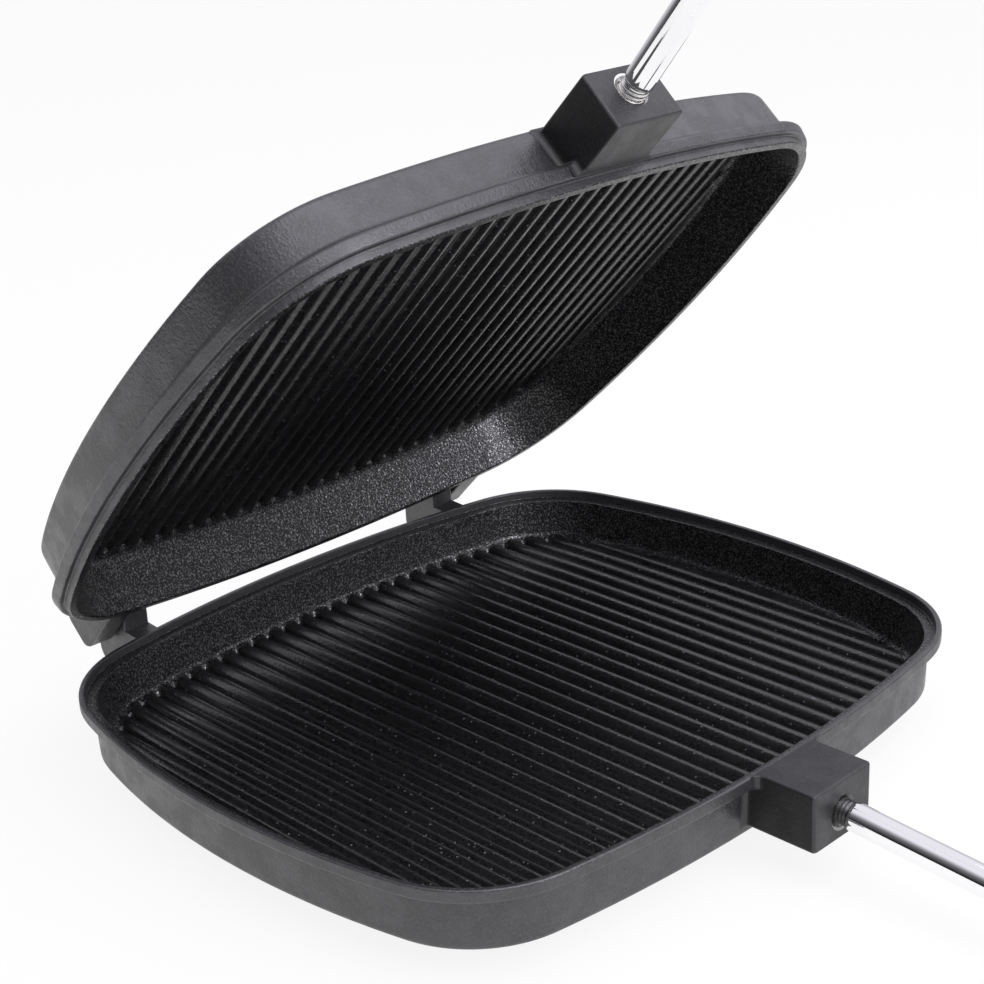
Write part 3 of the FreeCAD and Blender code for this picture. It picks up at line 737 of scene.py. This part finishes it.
# A skin over loops of points, closed by two end faces or, with closedAcross, from the last to the first
def loopMesh(loops, closedAcross=False):
    bm = bmesh.new()
    rings = [[bm.verts.new(Vector(spot) * mm) for spot in loop] for loop in loops]
    pairs = list(zip(rings, rings[1:]))
    if closedAcross:
        pairs.append((rings[-1], rings[0]))
    for first, second in pairs:
        for index in range(len(first)):
            after = (index + 1) % len(first)
            bm.faces.new((first[index], first[after], second[after], second[index]))
    if not closedAcross:
        bm.faces.new(rings[0])
        bm.faces.new(rings[-1][::-1])
    return bm


# Points round a spot and square to a way in the XZ plane; the radius may be a function of the turn
def ringAt(spot, way, radius, steps):
    across = Vector((0, 1, 0))
    up = way.cross(across).normalized()
    ring = []
    for step in range(steps):
        turn = 2 * math.pi * step / steps
        size = radius(turn) if callable(radius) else radius
        ring.append(spot + (across * math.cos(turn) + up * math.sin(turn)) * size)
    return ring


def spunLoops(start, way, profile, steps):
    return [ringAt(start + way * reach, way, radius, steps) for reach, radius in profile]


# A quarter of a circle as pairs that run from (1, 0) to (0, 1)
def quarterRound(steps):
    return [(1 - math.sin(turn), 1 - math.cos(turn)) for turn in between(0, math.pi / 2, steps)]


def addToScene(name, data):
    thing = bpy.data.objects.new(name, data)
    bpy.context.scene.collection.objects.link(thing)
    return thing


def newPiece(name, bm, materials):
    bmesh.ops.recalc_face_normals(bm, faces=bm.faces)
    mesh = bpy.data.meshes.new(name)
    bm.to_mesh(mesh)
    bm.free()
    for finish in materials:
        mesh.materials.append(finishes[finish])
    for polygon in mesh.polygons:
        polygon.use_smooth = True
    return addToScene(name, mesh)


# A block with round edges that flares softly into the wall behind it
boss = {
    "face": 118.0, "halfWidth": 12.25, "depth": 16.9, "faceRound": 1.0, "lowerCorner": 1.3,
    "upperCorner": 0.5, "flare": 2.0, "flareRoot": 1.3, "bottomFlare": 0.45, "faceDrop": 0.6,
    "topGap": 0.02, "sideDepths": (1.5, 2.5, 3.3, 3.7, 4.2, 4.8, 5.3, 5.7, 6.5, 8.5, 11.0, 13.5),
}


def bossLoop(tray, grow, drop, place):
    b = boss
    half = b["halfWidth"] + grow
    top = b["topGap"] + drop
    bottom = b["depth"] + grow * b["bottomFlare"]
    spots = []
    for side, corner, level, turnFrom in (
        (1, b["upperCorner"], top, 90), (1, b["lowerCorner"], bottom, 0),
        (-1, b["lowerCorner"], bottom, -90), (-1, b["upperCorner"], top, 180),
    ):
        inward = 1 if level == top else -1
        for degrees in between(turnFrom, turnFrom - 90, 6):
            turn = math.radians(degrees)
            y = side * (half - corner) + corner * math.cos(turn)
            spots.append((y, level + inward * corner - corner * math.sin(turn)))
        if side == 1 and level == top:
            spots += [(half, depth) for depth in b["sideDepths"]]
        if side == -1 and level == bottom:
            spots += [(-half, depth) for depth in b["sideDepths"][::-1]]
    return [(place(y, depth), y, tray["rim"] + tray["outward"] * depth) for y, depth in spots]


def bossMesh(tray):
    b = boss
    loops = []

    def followWall(grow, ahead):
        def place(y, depth):
            return outlineReach(1, outerInset(depth), y) + ahead

        loops.append(bossLoop(tray, grow, 0.0, place))

    def standFlat(shrink, x):
        loops.append(bossLoop(tray, -shrink, shrink * b["faceDrop"], lambda y, depth: x))

    for ahead in (-0.7, -0.05):
        followWall(b["flare"] * b["flareRoot"], ahead)
    for beside, ahead in quarterRound(7):
        followWall(b["flare"] * beside, b["flare"] * ahead - 0.02)
    followWall(0.0, b["flare"] + 0.4)
    standFlat(0.0, b["face"] - b["faceRound"] - 0.4)
    for behind, shrink in quarterRound(5):
        standFlat(b["faceRound"] * shrink, b["face"] - b["faceRound"] * behind)
    return loopMesh(loops)


# Hinge ears: a flat outline with round edges, as wide as the ear, its root inside the wall
ears = {
    "inner": 61.0, "width": 8.9, "gap": 0.5, "edge": 0.9, "lowerRadius": 10.2, "lowerFront": 6.0,
    "lowerShoulder": 0.6, "lowerBottom": 5.0, "lowerHeel": 6.0, "lowerRise": (19.9, 23.0, 29.0),
    "lowerBack": (22.0, 15.0), "lowerRoots": (8.0, 12.0, 14.4, 15.5, 16.6, 18.0),
    "upperFoot": -101.0, "upperRoots": (34.0, 30.0, 25.8, 24.8, 23.6, 22.0), "upperBack": 11.5,
    "upperTop": 9.6, "upperCrown": 8.0, "upperTail": 3.0, "pinRadius": 2.58, "pinOverrun": 3.0,
    "rootInset": 0.7,
}


def arcPoints(centreX, centreZ, radius, fromDegrees, toDegrees, steps):
    turns = [math.radians(degrees) for degrees in between(fromDegrees, toDegrees, steps)]
    return [(centreX + radius * math.cos(turn), centreZ + radius * math.sin(turn)) for turn in turns]


def lowerEarLine():
    e = ears
    x, z, radius = hinge["x"], hinge["z"], e["lowerRadius"]
    front = x + e["lowerFront"]
    start = math.degrees(math.acos(e["lowerFront"] / radius))
    heelX = x - radius + e["lowerHeel"]
    line = [(front, height) for height in e["lowerRise"]]
    line += arcPoints(x, z, radius, start, 180, 14)
    line += [(x - radius, height) for height in e["lowerBack"]]
    line += arcPoints(heelX, e["lowerBottom"] + e["lowerHeel"], e["lowerHeel"], 180, 270, 8)
    return line, (e["lowerBottom"], *e["lowerRoots"], lowerTray["rim"] - e["lowerShoulder"])


def upperEarLine():
    e = ears
    back = hinge["x"] - e["upperBack"]
    top = hinge["z"] + e["upperTop"]
    crown, tail = e["upperCrown"], e["upperTail"]
    rim = upperTray["rim"]
    line = [(e["upperFoot"], rim + 0.05)]
    line += arcPoints(back + tail, rim + tail, tail, 270, 180, 6)
    line += [(back, rim + 6.0)]
    line += arcPoints(back + crown, top - crown, crown, 180, 90, 10)
    line += [(e["upperFoot"], top)]
    return line, (top, *e["upperRoots"], rim + 0.05)


def earMesh(tray, outline, roots, inner, side):
    e = ears
    count = len(outline)
    centre = (sum(x for x, z in outline) / count, sum(z for x, z in outline) / count)
    signed = sum(a[0] * b[1] - b[0] * a[1] for a, b in zip(outline, outline[1:]))
    loops = []
    stations = [(e["edge"] * shrink, e["edge"] * reach) for shrink, reach in quarterRound(4)]
    spans = [(shrink, inner + reach) for shrink, reach in stations]
    spans += [(0.0, inner + e["edge"] + 0.3), (0.0, inner + e["width"] - e["edge"] - 0.3)]
    spans += [(shrink, inner + e["width"] - reach) for shrink, reach in stations[::-1]]
    for shrink, y in spans:
        loop = []
        for index, (x, z) in enumerate(outline):
            before = outline[max(index - 1, 0)]
            after = outline[min(index + 1, count - 1)]
            along = Vector((after[0] - before[0], after[1] - before[1])).normalized()
            inwardX, inwardZ = (-along.y, along.x) if signed > 0 else (along.y, -along.x)
            loop.append((x + inwardX * shrink, side * y, z + inwardZ * shrink))
        for z in roots:
            depth = abs(z - tray["rim"])
            loop.append((-outlineReach(-1, outerInset(depth) + e["rootInset"], y), side * y, z))
        loops.append(loop)
    return loopMesh(loops)


# A shoulder pair is a reach past the neck and how much thinner the rod is there, a collar pair a reach
# before the collar's end and how much thicker it is
rods = {
    "radius": 4.0, "drop": 9.0, "tilt": 4.5, "bendReach": 82.0, "bendRadius": 60.0, "neck": 3.0,
    "core": 3.50, "lowerCrest": 3.53, "upperCrest": 3.74, "threadPitch": 1.25, "endChamfer": 0.7,
    "holeRadius": 3.5, "mouthRadius": 4.7, "mouthDepth": 1.3, "holeDepth": 18.6, "buried": 14.0,
    "threadStart": -1.1, "threadStep": 0.1, "ridgeTop": 1.5, "ridgeSlope": 4.2,
    "shoulder": ((0.05, 0.72), (0.2, 0.45), (0.42, 0.2), (0.7, 0.04), (0.95, 0.0), (1.6, 0.0)),
    "collarBack": 6.05,
    "collar": (
        (-4.2, 0.0), (-4.0, 0.06), (-3.3, 0.8), (-2.9, 1.25), (-2.6, 1.4),
        (-1.4, 1.4), (-1.1, 1.25), (-0.7, 0.8), (-0.02, 0.06), (0.0, 0.0),
    ),
    "inNut": 8.4, "steelReach": 3.15,
}
rods["axisDepth"] = rods["drop"] + rods["bendReach"] * math.tan(math.radians(rods["tilt"]))


def rodWay(tray):
    lean = math.radians(rods["tilt"])
    return Vector((math.cos(lean), 0, tray["outward"] * math.sin(lean)))


def rodMouth(tray):
    return Vector((boss["face"], 0, tray["rim"] + tray["outward"] * rods["drop"]))


alongX = Vector((1, 0, 0))


def gripPoint(tray, x):
    return Vector((x, 0, tray["rim"] + tray["outward"] * rods["axisDepth"]))


def holeMesh(tray):
    r = rods
    deep, wide = r["holeDepth"], r["holeRadius"]
    profile = [(-deep - 0.4, 0.05), (-deep, wide), (-r["mouthDepth"] - 0.1, wide)]
    profile += [(-r["mouthDepth"], wide + 0.08), (-0.12, r["mouthRadius"] - 0.06)]
    profile += [(reach, r["mouthRadius"] + rise) for reach, rise in ((0.06, 0.1), (0.6, 1.2), (2.0, 4.5))]
    return loopMesh(spunLoops(rodMouth(tray), rodWay(tray), profile, 56))


def boreMesh(side):
    e = ears
    circle = arcPoints(hinge["x"], hinge["z"], e["pinRadius"], 0, 360, 40)[:-1]
    span = (e["inner"] - e["pinOverrun"], e["inner"] + 2 * e["width"] + e["gap"] + e["pinOverrun"])
    return loopMesh([[(x, side * y, z) for x, z in circle] for y in span])


def joinOrCut(piece, tool, operation):
    change = piece.modifiers.new(operation.lower(), "BOOLEAN")
    change.operation = operation
    change.solver = "MANIFOLD"
    change.object = tool
    depsgraph = bpy.context.evaluated_depsgraph_get()
    mesh = bpy.data.meshes.new_from_object(piece.evaluated_get(depsgraph))
    old = piece.data
    piece.modifiers.clear()
    piece.data = mesh
    bpy.data.meshes.remove(old)
    toolMesh = tool.data
    bpy.data.objects.remove(tool)
    bpy.data.meshes.remove(toolMesh)


# Turns a piece that was built in the shut place up to where the lid stands open
def openUp(piece):
    pivot = Vector((hinge["x"], 0, hinge["z"])) * mm
    turn = Matrix.Rotation(math.radians(hinge["openDegrees"]), 4, Vector((0, -1, 0)))
    piece.data.transform(Matrix.Translation(pivot) @ turn @ Matrix.Translation(-pivot))


def seat(piece, node, body, angle=35):
    if body == "upper":
        openUp(piece)
    piece.data.set_sharp_from_angle(angle=math.radians(angle))
    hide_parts(node)
    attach(piece, body)
    print("made", piece.name, "with", len(piece.data.polygons), "faces")


def buildTray(side, tray, earLine, earInner):
    bm, insideFaces, strips = trayMesh(tray, rimProfile(tray))
    floorLevel = tray["rim"] + tray["outward"] * (tray["depth"] - tray["floor"])
    footInset = Wall(tray).footEnd + division["footMargin"]
    for face in insideFaces:
        spot = face.calc_center_median() / mm
        raised = (floorLevel - spot.z) * tray["outward"] > division["floorMargin"]
        face.material_index = 1 if raised or insetAt(spot.x, spot.y) < footInset else 4
    for strip in strips[:division["insideStrips"]]:
        for face in strip:
            face.material_index = 1
    # The lower bore takes the darker metal, painted shade; the upper bore takes the plated finish
    bored = "plated" if side == "upper" else "boredMetalShaded"
    materials = ["castOutside", "castInside", "castBoss", bored, "castPlate", "castBossShadedSide"]
    piece = newPiece(side + "Tray", bm, materials)
    block = newPiece("boss", bossMesh(tray), materials)
    for polygon in block.data.polygons:
        # Faces that look along ±Y get the darker copy of the boss finish, as painted shade
        polygon.material_index = 5 if abs(polygon.normal.y) > 0.9 else 2
    joinOrCut(piece, block, "UNION")
    outline, roots = earLine
    for hand in (1, -1):
        ear = newPiece("ear", earMesh(tray, outline, roots, earInner, hand), materials)
        joinOrCut(piece, ear, "UNION")
        joinOrCut(piece, newPiece("bore", boreMesh(hand), materials), "DIFFERENCE")
    hole = newPiece("hole", holeMesh(tray), materials)
    for polygon in hole.data.polygons:
        polygon.material_index = 3
    joinOrCut(piece, hole, "DIFFERENCE")
    shading = piece.modifiers.new("evenShading", "WEIGHTED_NORMAL")
    shading.keep_sharp = True
    shading.weight = 50
    seat(piece, side + "_iron", side, 38)


# The rod from its thread in the boss, round its bend, to the end in the cap nut
def rodMesh(tray):
    r = rods
    lean = math.radians(r["tilt"])
    out = tray["outward"]
    way = rodWay(tray)
    mouth = rodMouth(tray)
    tangent = r["bendRadius"] * math.tan(lean / 2)
    straight = r["bendReach"] / math.cos(lean) - tangent
    corner = gripPoint(tray, boss["face"] + r["bendReach"])
    centre = corner + Vector((tangent, 0, -out * r["bendRadius"]))
    crest = r["upperCrest"] if out > 0 else r["lowerCrest"]
    loops = []

    def ring(spot, heading, radius):
        loops.append(ringAt(spot, heading, radius, 64))

    for radius in (0.4, r["core"]):
        ring(mouth - way * r["buried"], way, radius)
    for step in range(round((r["neck"] - r["threadStart"]) / r["threadStep"]) + 1):
        reach = r["threadStart"] + r["threadStep"] * step
        fade = min((reach - r["threadStart"]) / 0.4, (r["neck"] - 0.35 - reach) / 0.5, 1.0)

        def threadAt(turn):
            share = (reach / r["threadPitch"] - turn / (2 * math.pi)) % 1.0
            ridge = min(max(r["ridgeTop"] - r["ridgeSlope"] * abs(share - 0.5), 0.0), 1.0)
            return r["core"] + (crest - r["core"]) * ridge * max(fade, 0.0)

        ring(mouth + way * reach, way, threadAt)
    for ahead, shrink in r["shoulder"]:
        ring(mouth + way * (r["neck"] + ahead), way, r["radius"] - shrink)
    for reach in between(r["neck"] + 2, straight, 8)[1:]:
        ring(mouth + way * reach, way, r["radius"])
    for turn in between(lean, 0, 6)[1:]:
        spot = centre + Vector((-math.sin(turn), 0, out * math.cos(turn))) * r["bendRadius"]
        ring(spot, Vector((math.cos(turn), 0, out * math.sin(turn))), r["radius"])
    collar = [(grips["front"] - r["collarBack"] + offset, rise) for offset, rise in r["collar"]]
    for x in between(corner.x + tangent, collar[0][0], 8)[1:-1]:
        ring(gripPoint(tray, x), alongX, r["radius"])
    for x, rise in collar:
        ring(gripPoint(tray, x), alongX, r["radius"] + rise)
    end = gripBack + grips["washer"] + r["inNut"]
    cut = r["endChamfer"]
    for x, radius in ((end - cut, r["radius"]), (end, r["radius"] - cut), (end, 0.4)):
        ring(gripPoint(tray, x), alongX, radius)
    return loopMesh(loops)


# Turned grips with a ferrule in front and a washer and a cap nut behind
grips = {
    "front": 454.0, "length": 132.0, "radius": 13.0, "tenonRadius": 9.4, "tenonLength": 9.0,
    "endRound": 5.0, "flats": ((0.0, 0.80), (0.27, 1.0), (0.62, 0.90), (0.88, 1.0)),
    "ferruleWall": 1.2, "ferruleLength": 15.0, "ferruleNose": 2.4,
    "frontEdge": ((0.0, 0.78), (0.1, 0.79)),
    "bead": ((7.6, 0.0), (7.9, 0.35), (8.4, 0.35), (8.7, 0.0)), "washer": 1.6,
}
bore = rods["radius"] + 0.05
gripBack = grips["front"] + grips["length"]
ferruleBack = grips["front"] + grips["tenonLength"]


def spinPiece(name, tray, profile, finish):
    loops = spunLoops(gripPoint(tray, 0), alongX, profile, 72)
    return newPiece(name, loopMesh(loops, closedAcross=True), [finish])


def gripProfile():
    g = grips
    body = gripBack - ferruleBack
    line = [(grips["front"], bore), (grips["front"], g["tenonRadius"]), (ferruleBack, g["tenonRadius"])]
    line += [(ferruleBack + behind, g["radius"] * share) for behind, share in g["frontEdge"]]
    for (fromShare, fromSize), (toShare, toSize) in zip(g["flats"], g["flats"][1:]):
        for t in between(0, 1, 14)[1:]:
            blend = t * t * (3 - 2 * t) if fromShare else t * (2 - t)
            size = fromSize + (toSize - fromSize) * blend
            line.append((ferruleBack + body * (fromShare + (toShare - fromShare) * t), g["radius"] * size))
    for behind, shrink in quarterRound(9):
        line.append((gripBack - g["endRound"] * behind, g["radius"] - g["endRound"] * shrink))
    return line + [(gripBack, rods["radius"] + 1.2), (gripBack, bore)]


def ferruleProfile():
    g = grips
    front = ferruleBack - g["ferruleLength"]
    outer = g["tenonRadius"] + g["ferruleWall"]
    inner = g["tenonRadius"] + 0.05
    nose = g["ferruleNose"]
    line = [(front, bore), (front, outer - nose - 0.2), (front + 0.12, outer - nose)]
    for shrink, ahead in quarterRound(8)[1:-1]:
        line.append((front + 0.1 + nose * ahead, outer - nose * shrink))
    line.append((front + nose + 0.3, outer))
    line += [(front + behind, outer - cut) for behind, cut in g["bead"]]
    line += [(ferruleBack - ahead, outer - cut) for ahead, cut in ((0.6, 0.0), (0.2, 0.12), (0.05, 0.4))]
    line += [(ferruleBack - 0.05, inner), (g["front"] - 0.05, inner), (g["front"] - 0.05, bore)]
    return line


# A hexagon with its corners turned off, and a dome that closes it
nut = {
    "half": 6.5, "boreDepth": 8.5, "domeBase": 5.7, "domeRise": 5.0, "height": 11.5,
}


def nutMesh(tray):
    n = nut
    half = n["half"]
    corner = half / math.cos(math.pi / 6)

    def sizeAt(turn, limit):
        local = (turn + math.pi / 6) % (math.pi / 3) - math.pi / 6
        return min(half / math.cos(local), limit)

    profile = [(n["boreDepth"] + 0.05, 0.3, 0), (n["boreDepth"], bore, 0), (0.0, bore, 0)]
    profile += [(0.0, half - 0.1, 0), (0.45, corner - 0.25, 1), (0.7, corner, 1), (5.2, corner, 1)]
    profile += [(5.75, corner - 0.12, 1), (6.3, half - 0.1, 1), (6.5, n["domeBase"] + 0.05, 0)]
    domeRadius = (n["domeBase"] ** 2 + n["domeRise"] ** 2) / (2 * n["domeRise"])
    opening = math.acos(1 - n["domeRise"] / domeRadius)
    for turn in between(opening, 0, 12)[:-1]:
        profile.append((n["height"] - domeRadius * (1 - math.cos(turn)), domeRadius * math.sin(turn), 0))
    loops = []
    for reach, size, hexagonal in profile:
        radius = (lambda turn: sizeAt(turn, size)) if hexagonal else size
        loops.append(ringAt(gripPoint(tray, gripBack + grips["washer"] + reach), alongX, radius, 72))
    return loopMesh(loops)


def buildHandle(side, tray):
    # The lower rod's thread takes the darker steel, painted shade; the upper's takes the plated finish
    thread = "plated" if side == "upper" else "threadSteelShaded"
    rod = newPiece(side + "Rod", rodMesh(tray), ["chromed", thread])
    way, mouth = rodWay(tray), rodMouth(tray)
    for polygon in rod.data.polygons:
        if (polygon.center / mm - mouth).dot(way) < rods["steelReach"]:
            polygon.material_index = 1
    seat(rod, side + "_rod", side, 60)
    grip = spinPiece(side + "Grip", tray, gripProfile(), "gripWood" + side.capitalize())
    seat(grip, side + "_grip", side)
    ferrule = spinPiece(side + "Ferrule", tray, ferruleProfile(), "plated")
    seat(ferrule, side + "_ferrule", side)
    capNut = newPiece(side + "CapNut", nutMesh(tray), ["plated"])
    seat(capNut, side + "_cap_nut", side, 25)


buildTray("lower", lowerTray, lowerEarLine(), ears["inner"])
buildTray("upper", upperTray, upperEarLine(), ears["inner"] + ears["width"] + ears["gap"])
buildHandle("lower", lowerTray)
buildHandle("upper", upperTray)

carriedOver = {
    "near_hinge_pin": "pinSteel",
    "far_hinge_pin": "pinSteel",
    "lower_end_washer": "plated",
    "upper_end_washer": "plated",
    "latch_catch_screw": "plated",
    "latch_pivot_screw": "plated",
    "latch_washer": "plated",
    "latch_hook": "hookSteel",
}
for node, finish in carriedOver.items():
    mesh = frame["nodes"][node].data
    mesh.materials.clear()
    mesh.materials.append(finishes[finish])
print("carried over", len(carriedOver), "nodes")

# Floor, light and camera
studio = {
    "floorReach": 6.0, "floorColor": (0.93, 0.93, 0.93), "floorShadow": 0.12, "floorGap": 0.0002,
    "aim": (0, 0, 0.08),
}


def buildFloor():
    s = studio
    z = cadBounds[0][2] - s["floorGap"]
    reach = s["floorReach"]
    mesh = bpy.data.meshes.new("floor")
    corners = [(-reach, -reach, z), (reach, -reach, z), (reach, reach, z), (-reach, reach, z)]
    mesh.from_pydata(corners, [], [(0, 1, 2, 3)])
    material = bpy.data.materials.new("floorPale")
    material.use_nodes = True
    tree = material.node_tree
    tree.nodes.clear()
    out = tree.nodes.new("ShaderNodeOutputMaterial")
    surface = tree.nodes.new("ShaderNodeBsdfDiffuse")
    surface.inputs["Color"].default_value = (*s["floorColor"], 1)
    glow = tree.nodes.new("ShaderNodeEmission")
    blend = tree.nodes.new("ShaderNodeMixShader")
    path = tree.nodes.new("ShaderNodeLightPath")
    rays = mathNode(tree, "ADD", path.outputs["Is Glossy Ray"], path.outputs["Is Transmission Ray"])
    total = mathNode(tree, "ADD", path.outputs["Is Camera Ray"], rays, clamp=True)
    connect(tree, mathNode(tree, "MULTIPLY", total, 1 - s["floorShadow"]), blend.inputs[0])
    tree.links.new(surface.outputs[0], blend.inputs[1])
    tree.links.new(glow.outputs[0], blend.inputs[2])
    tree.links.new(blend.outputs[0], out.inputs["Surface"])
    mesh.materials.append(material)
    addToScene("floor", mesh)


buildFloor()


# The lamps and the room share one slightly cool white
coolWhite = (0.935, 0.92, 1.0)

# The room: brighter overhead and towards the pale backdrop, darker to one side of the camera
worldLight = {
    "low": 0.168, "high": 0.90, "lowRise": 0.12, "highRise": 0.56, "backWay": (-0.69, 0.72, 0.05),
    "backFrom": 0.25, "backFull": 0.95, "backLevel": 0.65, "dimWay": (-0.36, -0.92, 0.15),
    "dimFrom": 0.55, "dimFull": 0.96, "dimShare": 0.15,
}


def buildWorld():
    w = worldLight
    world = bpy.data.worlds.new("studio")
    bpy.context.scene.world = world
    world.use_nodes = True
    tree = world.node_tree
    background = tree.nodes["Background"]
    coords = tree.nodes.new("ShaderNodeTexCoord").outputs["Generated"]

    def facing(way, *limits):
        return rangeNode(tree, vectorNode(tree, "DOT_PRODUCT", coords, way), *limits)

    rise = facing((0, 0, 1), w["lowRise"], w["highRise"], w["low"], w["high"])
    back = facing(w["backWay"], w["backFrom"], w["backFull"], 0.0, w["backLevel"])
    dim = facing(w["dimWay"], w["dimFrom"], w["dimFull"], 1.0, w["dimShare"])
    level = mathNode(tree, "MULTIPLY", mathNode(tree, "MAXIMUM", rise, back), dim)
    tree.links.new(level, background.inputs["Strength"])
    background.inputs["Color"].default_value = (*coolWhite, 1)


buildWorld()

# Softboxes: the way to each from the middle of the object, its distance, width and brightness
softboxes = {
    "keyLight": {"way": (0.42, -0.08, 0.90), "distance": 1.2, "width": 1.2, "brightness": 1.58},
    "sideLight": {"way": (0.16, 0.75, 0.64), "distance": 1.2, "width": 0.9, "brightness": 0.74},
    "frontLight": {"way": (0.80, 0.08, 0.42), "distance": 1.2, "width": 0.52, "brightness": 6.5},
}


def buildLights():
    for name, box in softboxes.items():
        data = bpy.data.lights.new(name, "AREA")
        data.shape = "SQUARE"
        data.size = box["width"]
        data.color = coolWhite
        data.energy = math.pi * box["width"] ** 2 * box["brightness"]
        light = addToScene(name, data)
        way = Vector(box["way"]).normalized()
        turn = way.to_track_quat("Z", "Y").to_matrix().to_4x4()
        light.matrix_world = Matrix.Translation(Vector(studio["aim"]) + way * box["distance"]) @ turn


buildLights()

cameraValues = {
    "azimuth": -0.764, "elevation": 0.376, "roll": -0.048, "distance": 734.945,
    "target": (-130.96, 119.255, 0.0), "focalPixels": 1894.27, "framePixels": 984, "sensor": 36.0,
}


def buildCamera():
    c = cameraValues
    flat = math.cos(c["elevation"])
    way = Vector((flat * math.cos(c["azimuth"]), flat * math.sin(c["azimuth"]), math.sin(c["elevation"])))
    place = (Vector(c["target"]) + way * c["distance"]) * mm
    forward = -way
    right = forward.cross(Vector((0, 0, 1))).normalized()
    up = right.cross(forward)
    rolledRight = right * math.cos(c["roll"]) + up * math.sin(c["roll"])
    rolledUp = up * math.cos(c["roll"]) - right * math.sin(c["roll"])
    data = bpy.data.cameras.new("photoCamera")
    data.sensor_width = c["sensor"]
    data.lens = c["focalPixels"] * c["sensor"] / c["framePixels"]
    data.clip_start = 0.01
    data.clip_end = 20
    camera = addToScene("photoCamera", data)
    rotation = Matrix((rolledRight, rolledUp, -forward)).transposed()
    camera.matrix_world = Matrix.Translation(place) @ rotation.to_4x4()
    bpy.context.scene.camera = camera


buildCamera()
print("set up the floor, the light and the camera")
bpy.context.scene.view_settings.view_transform = "Standard"
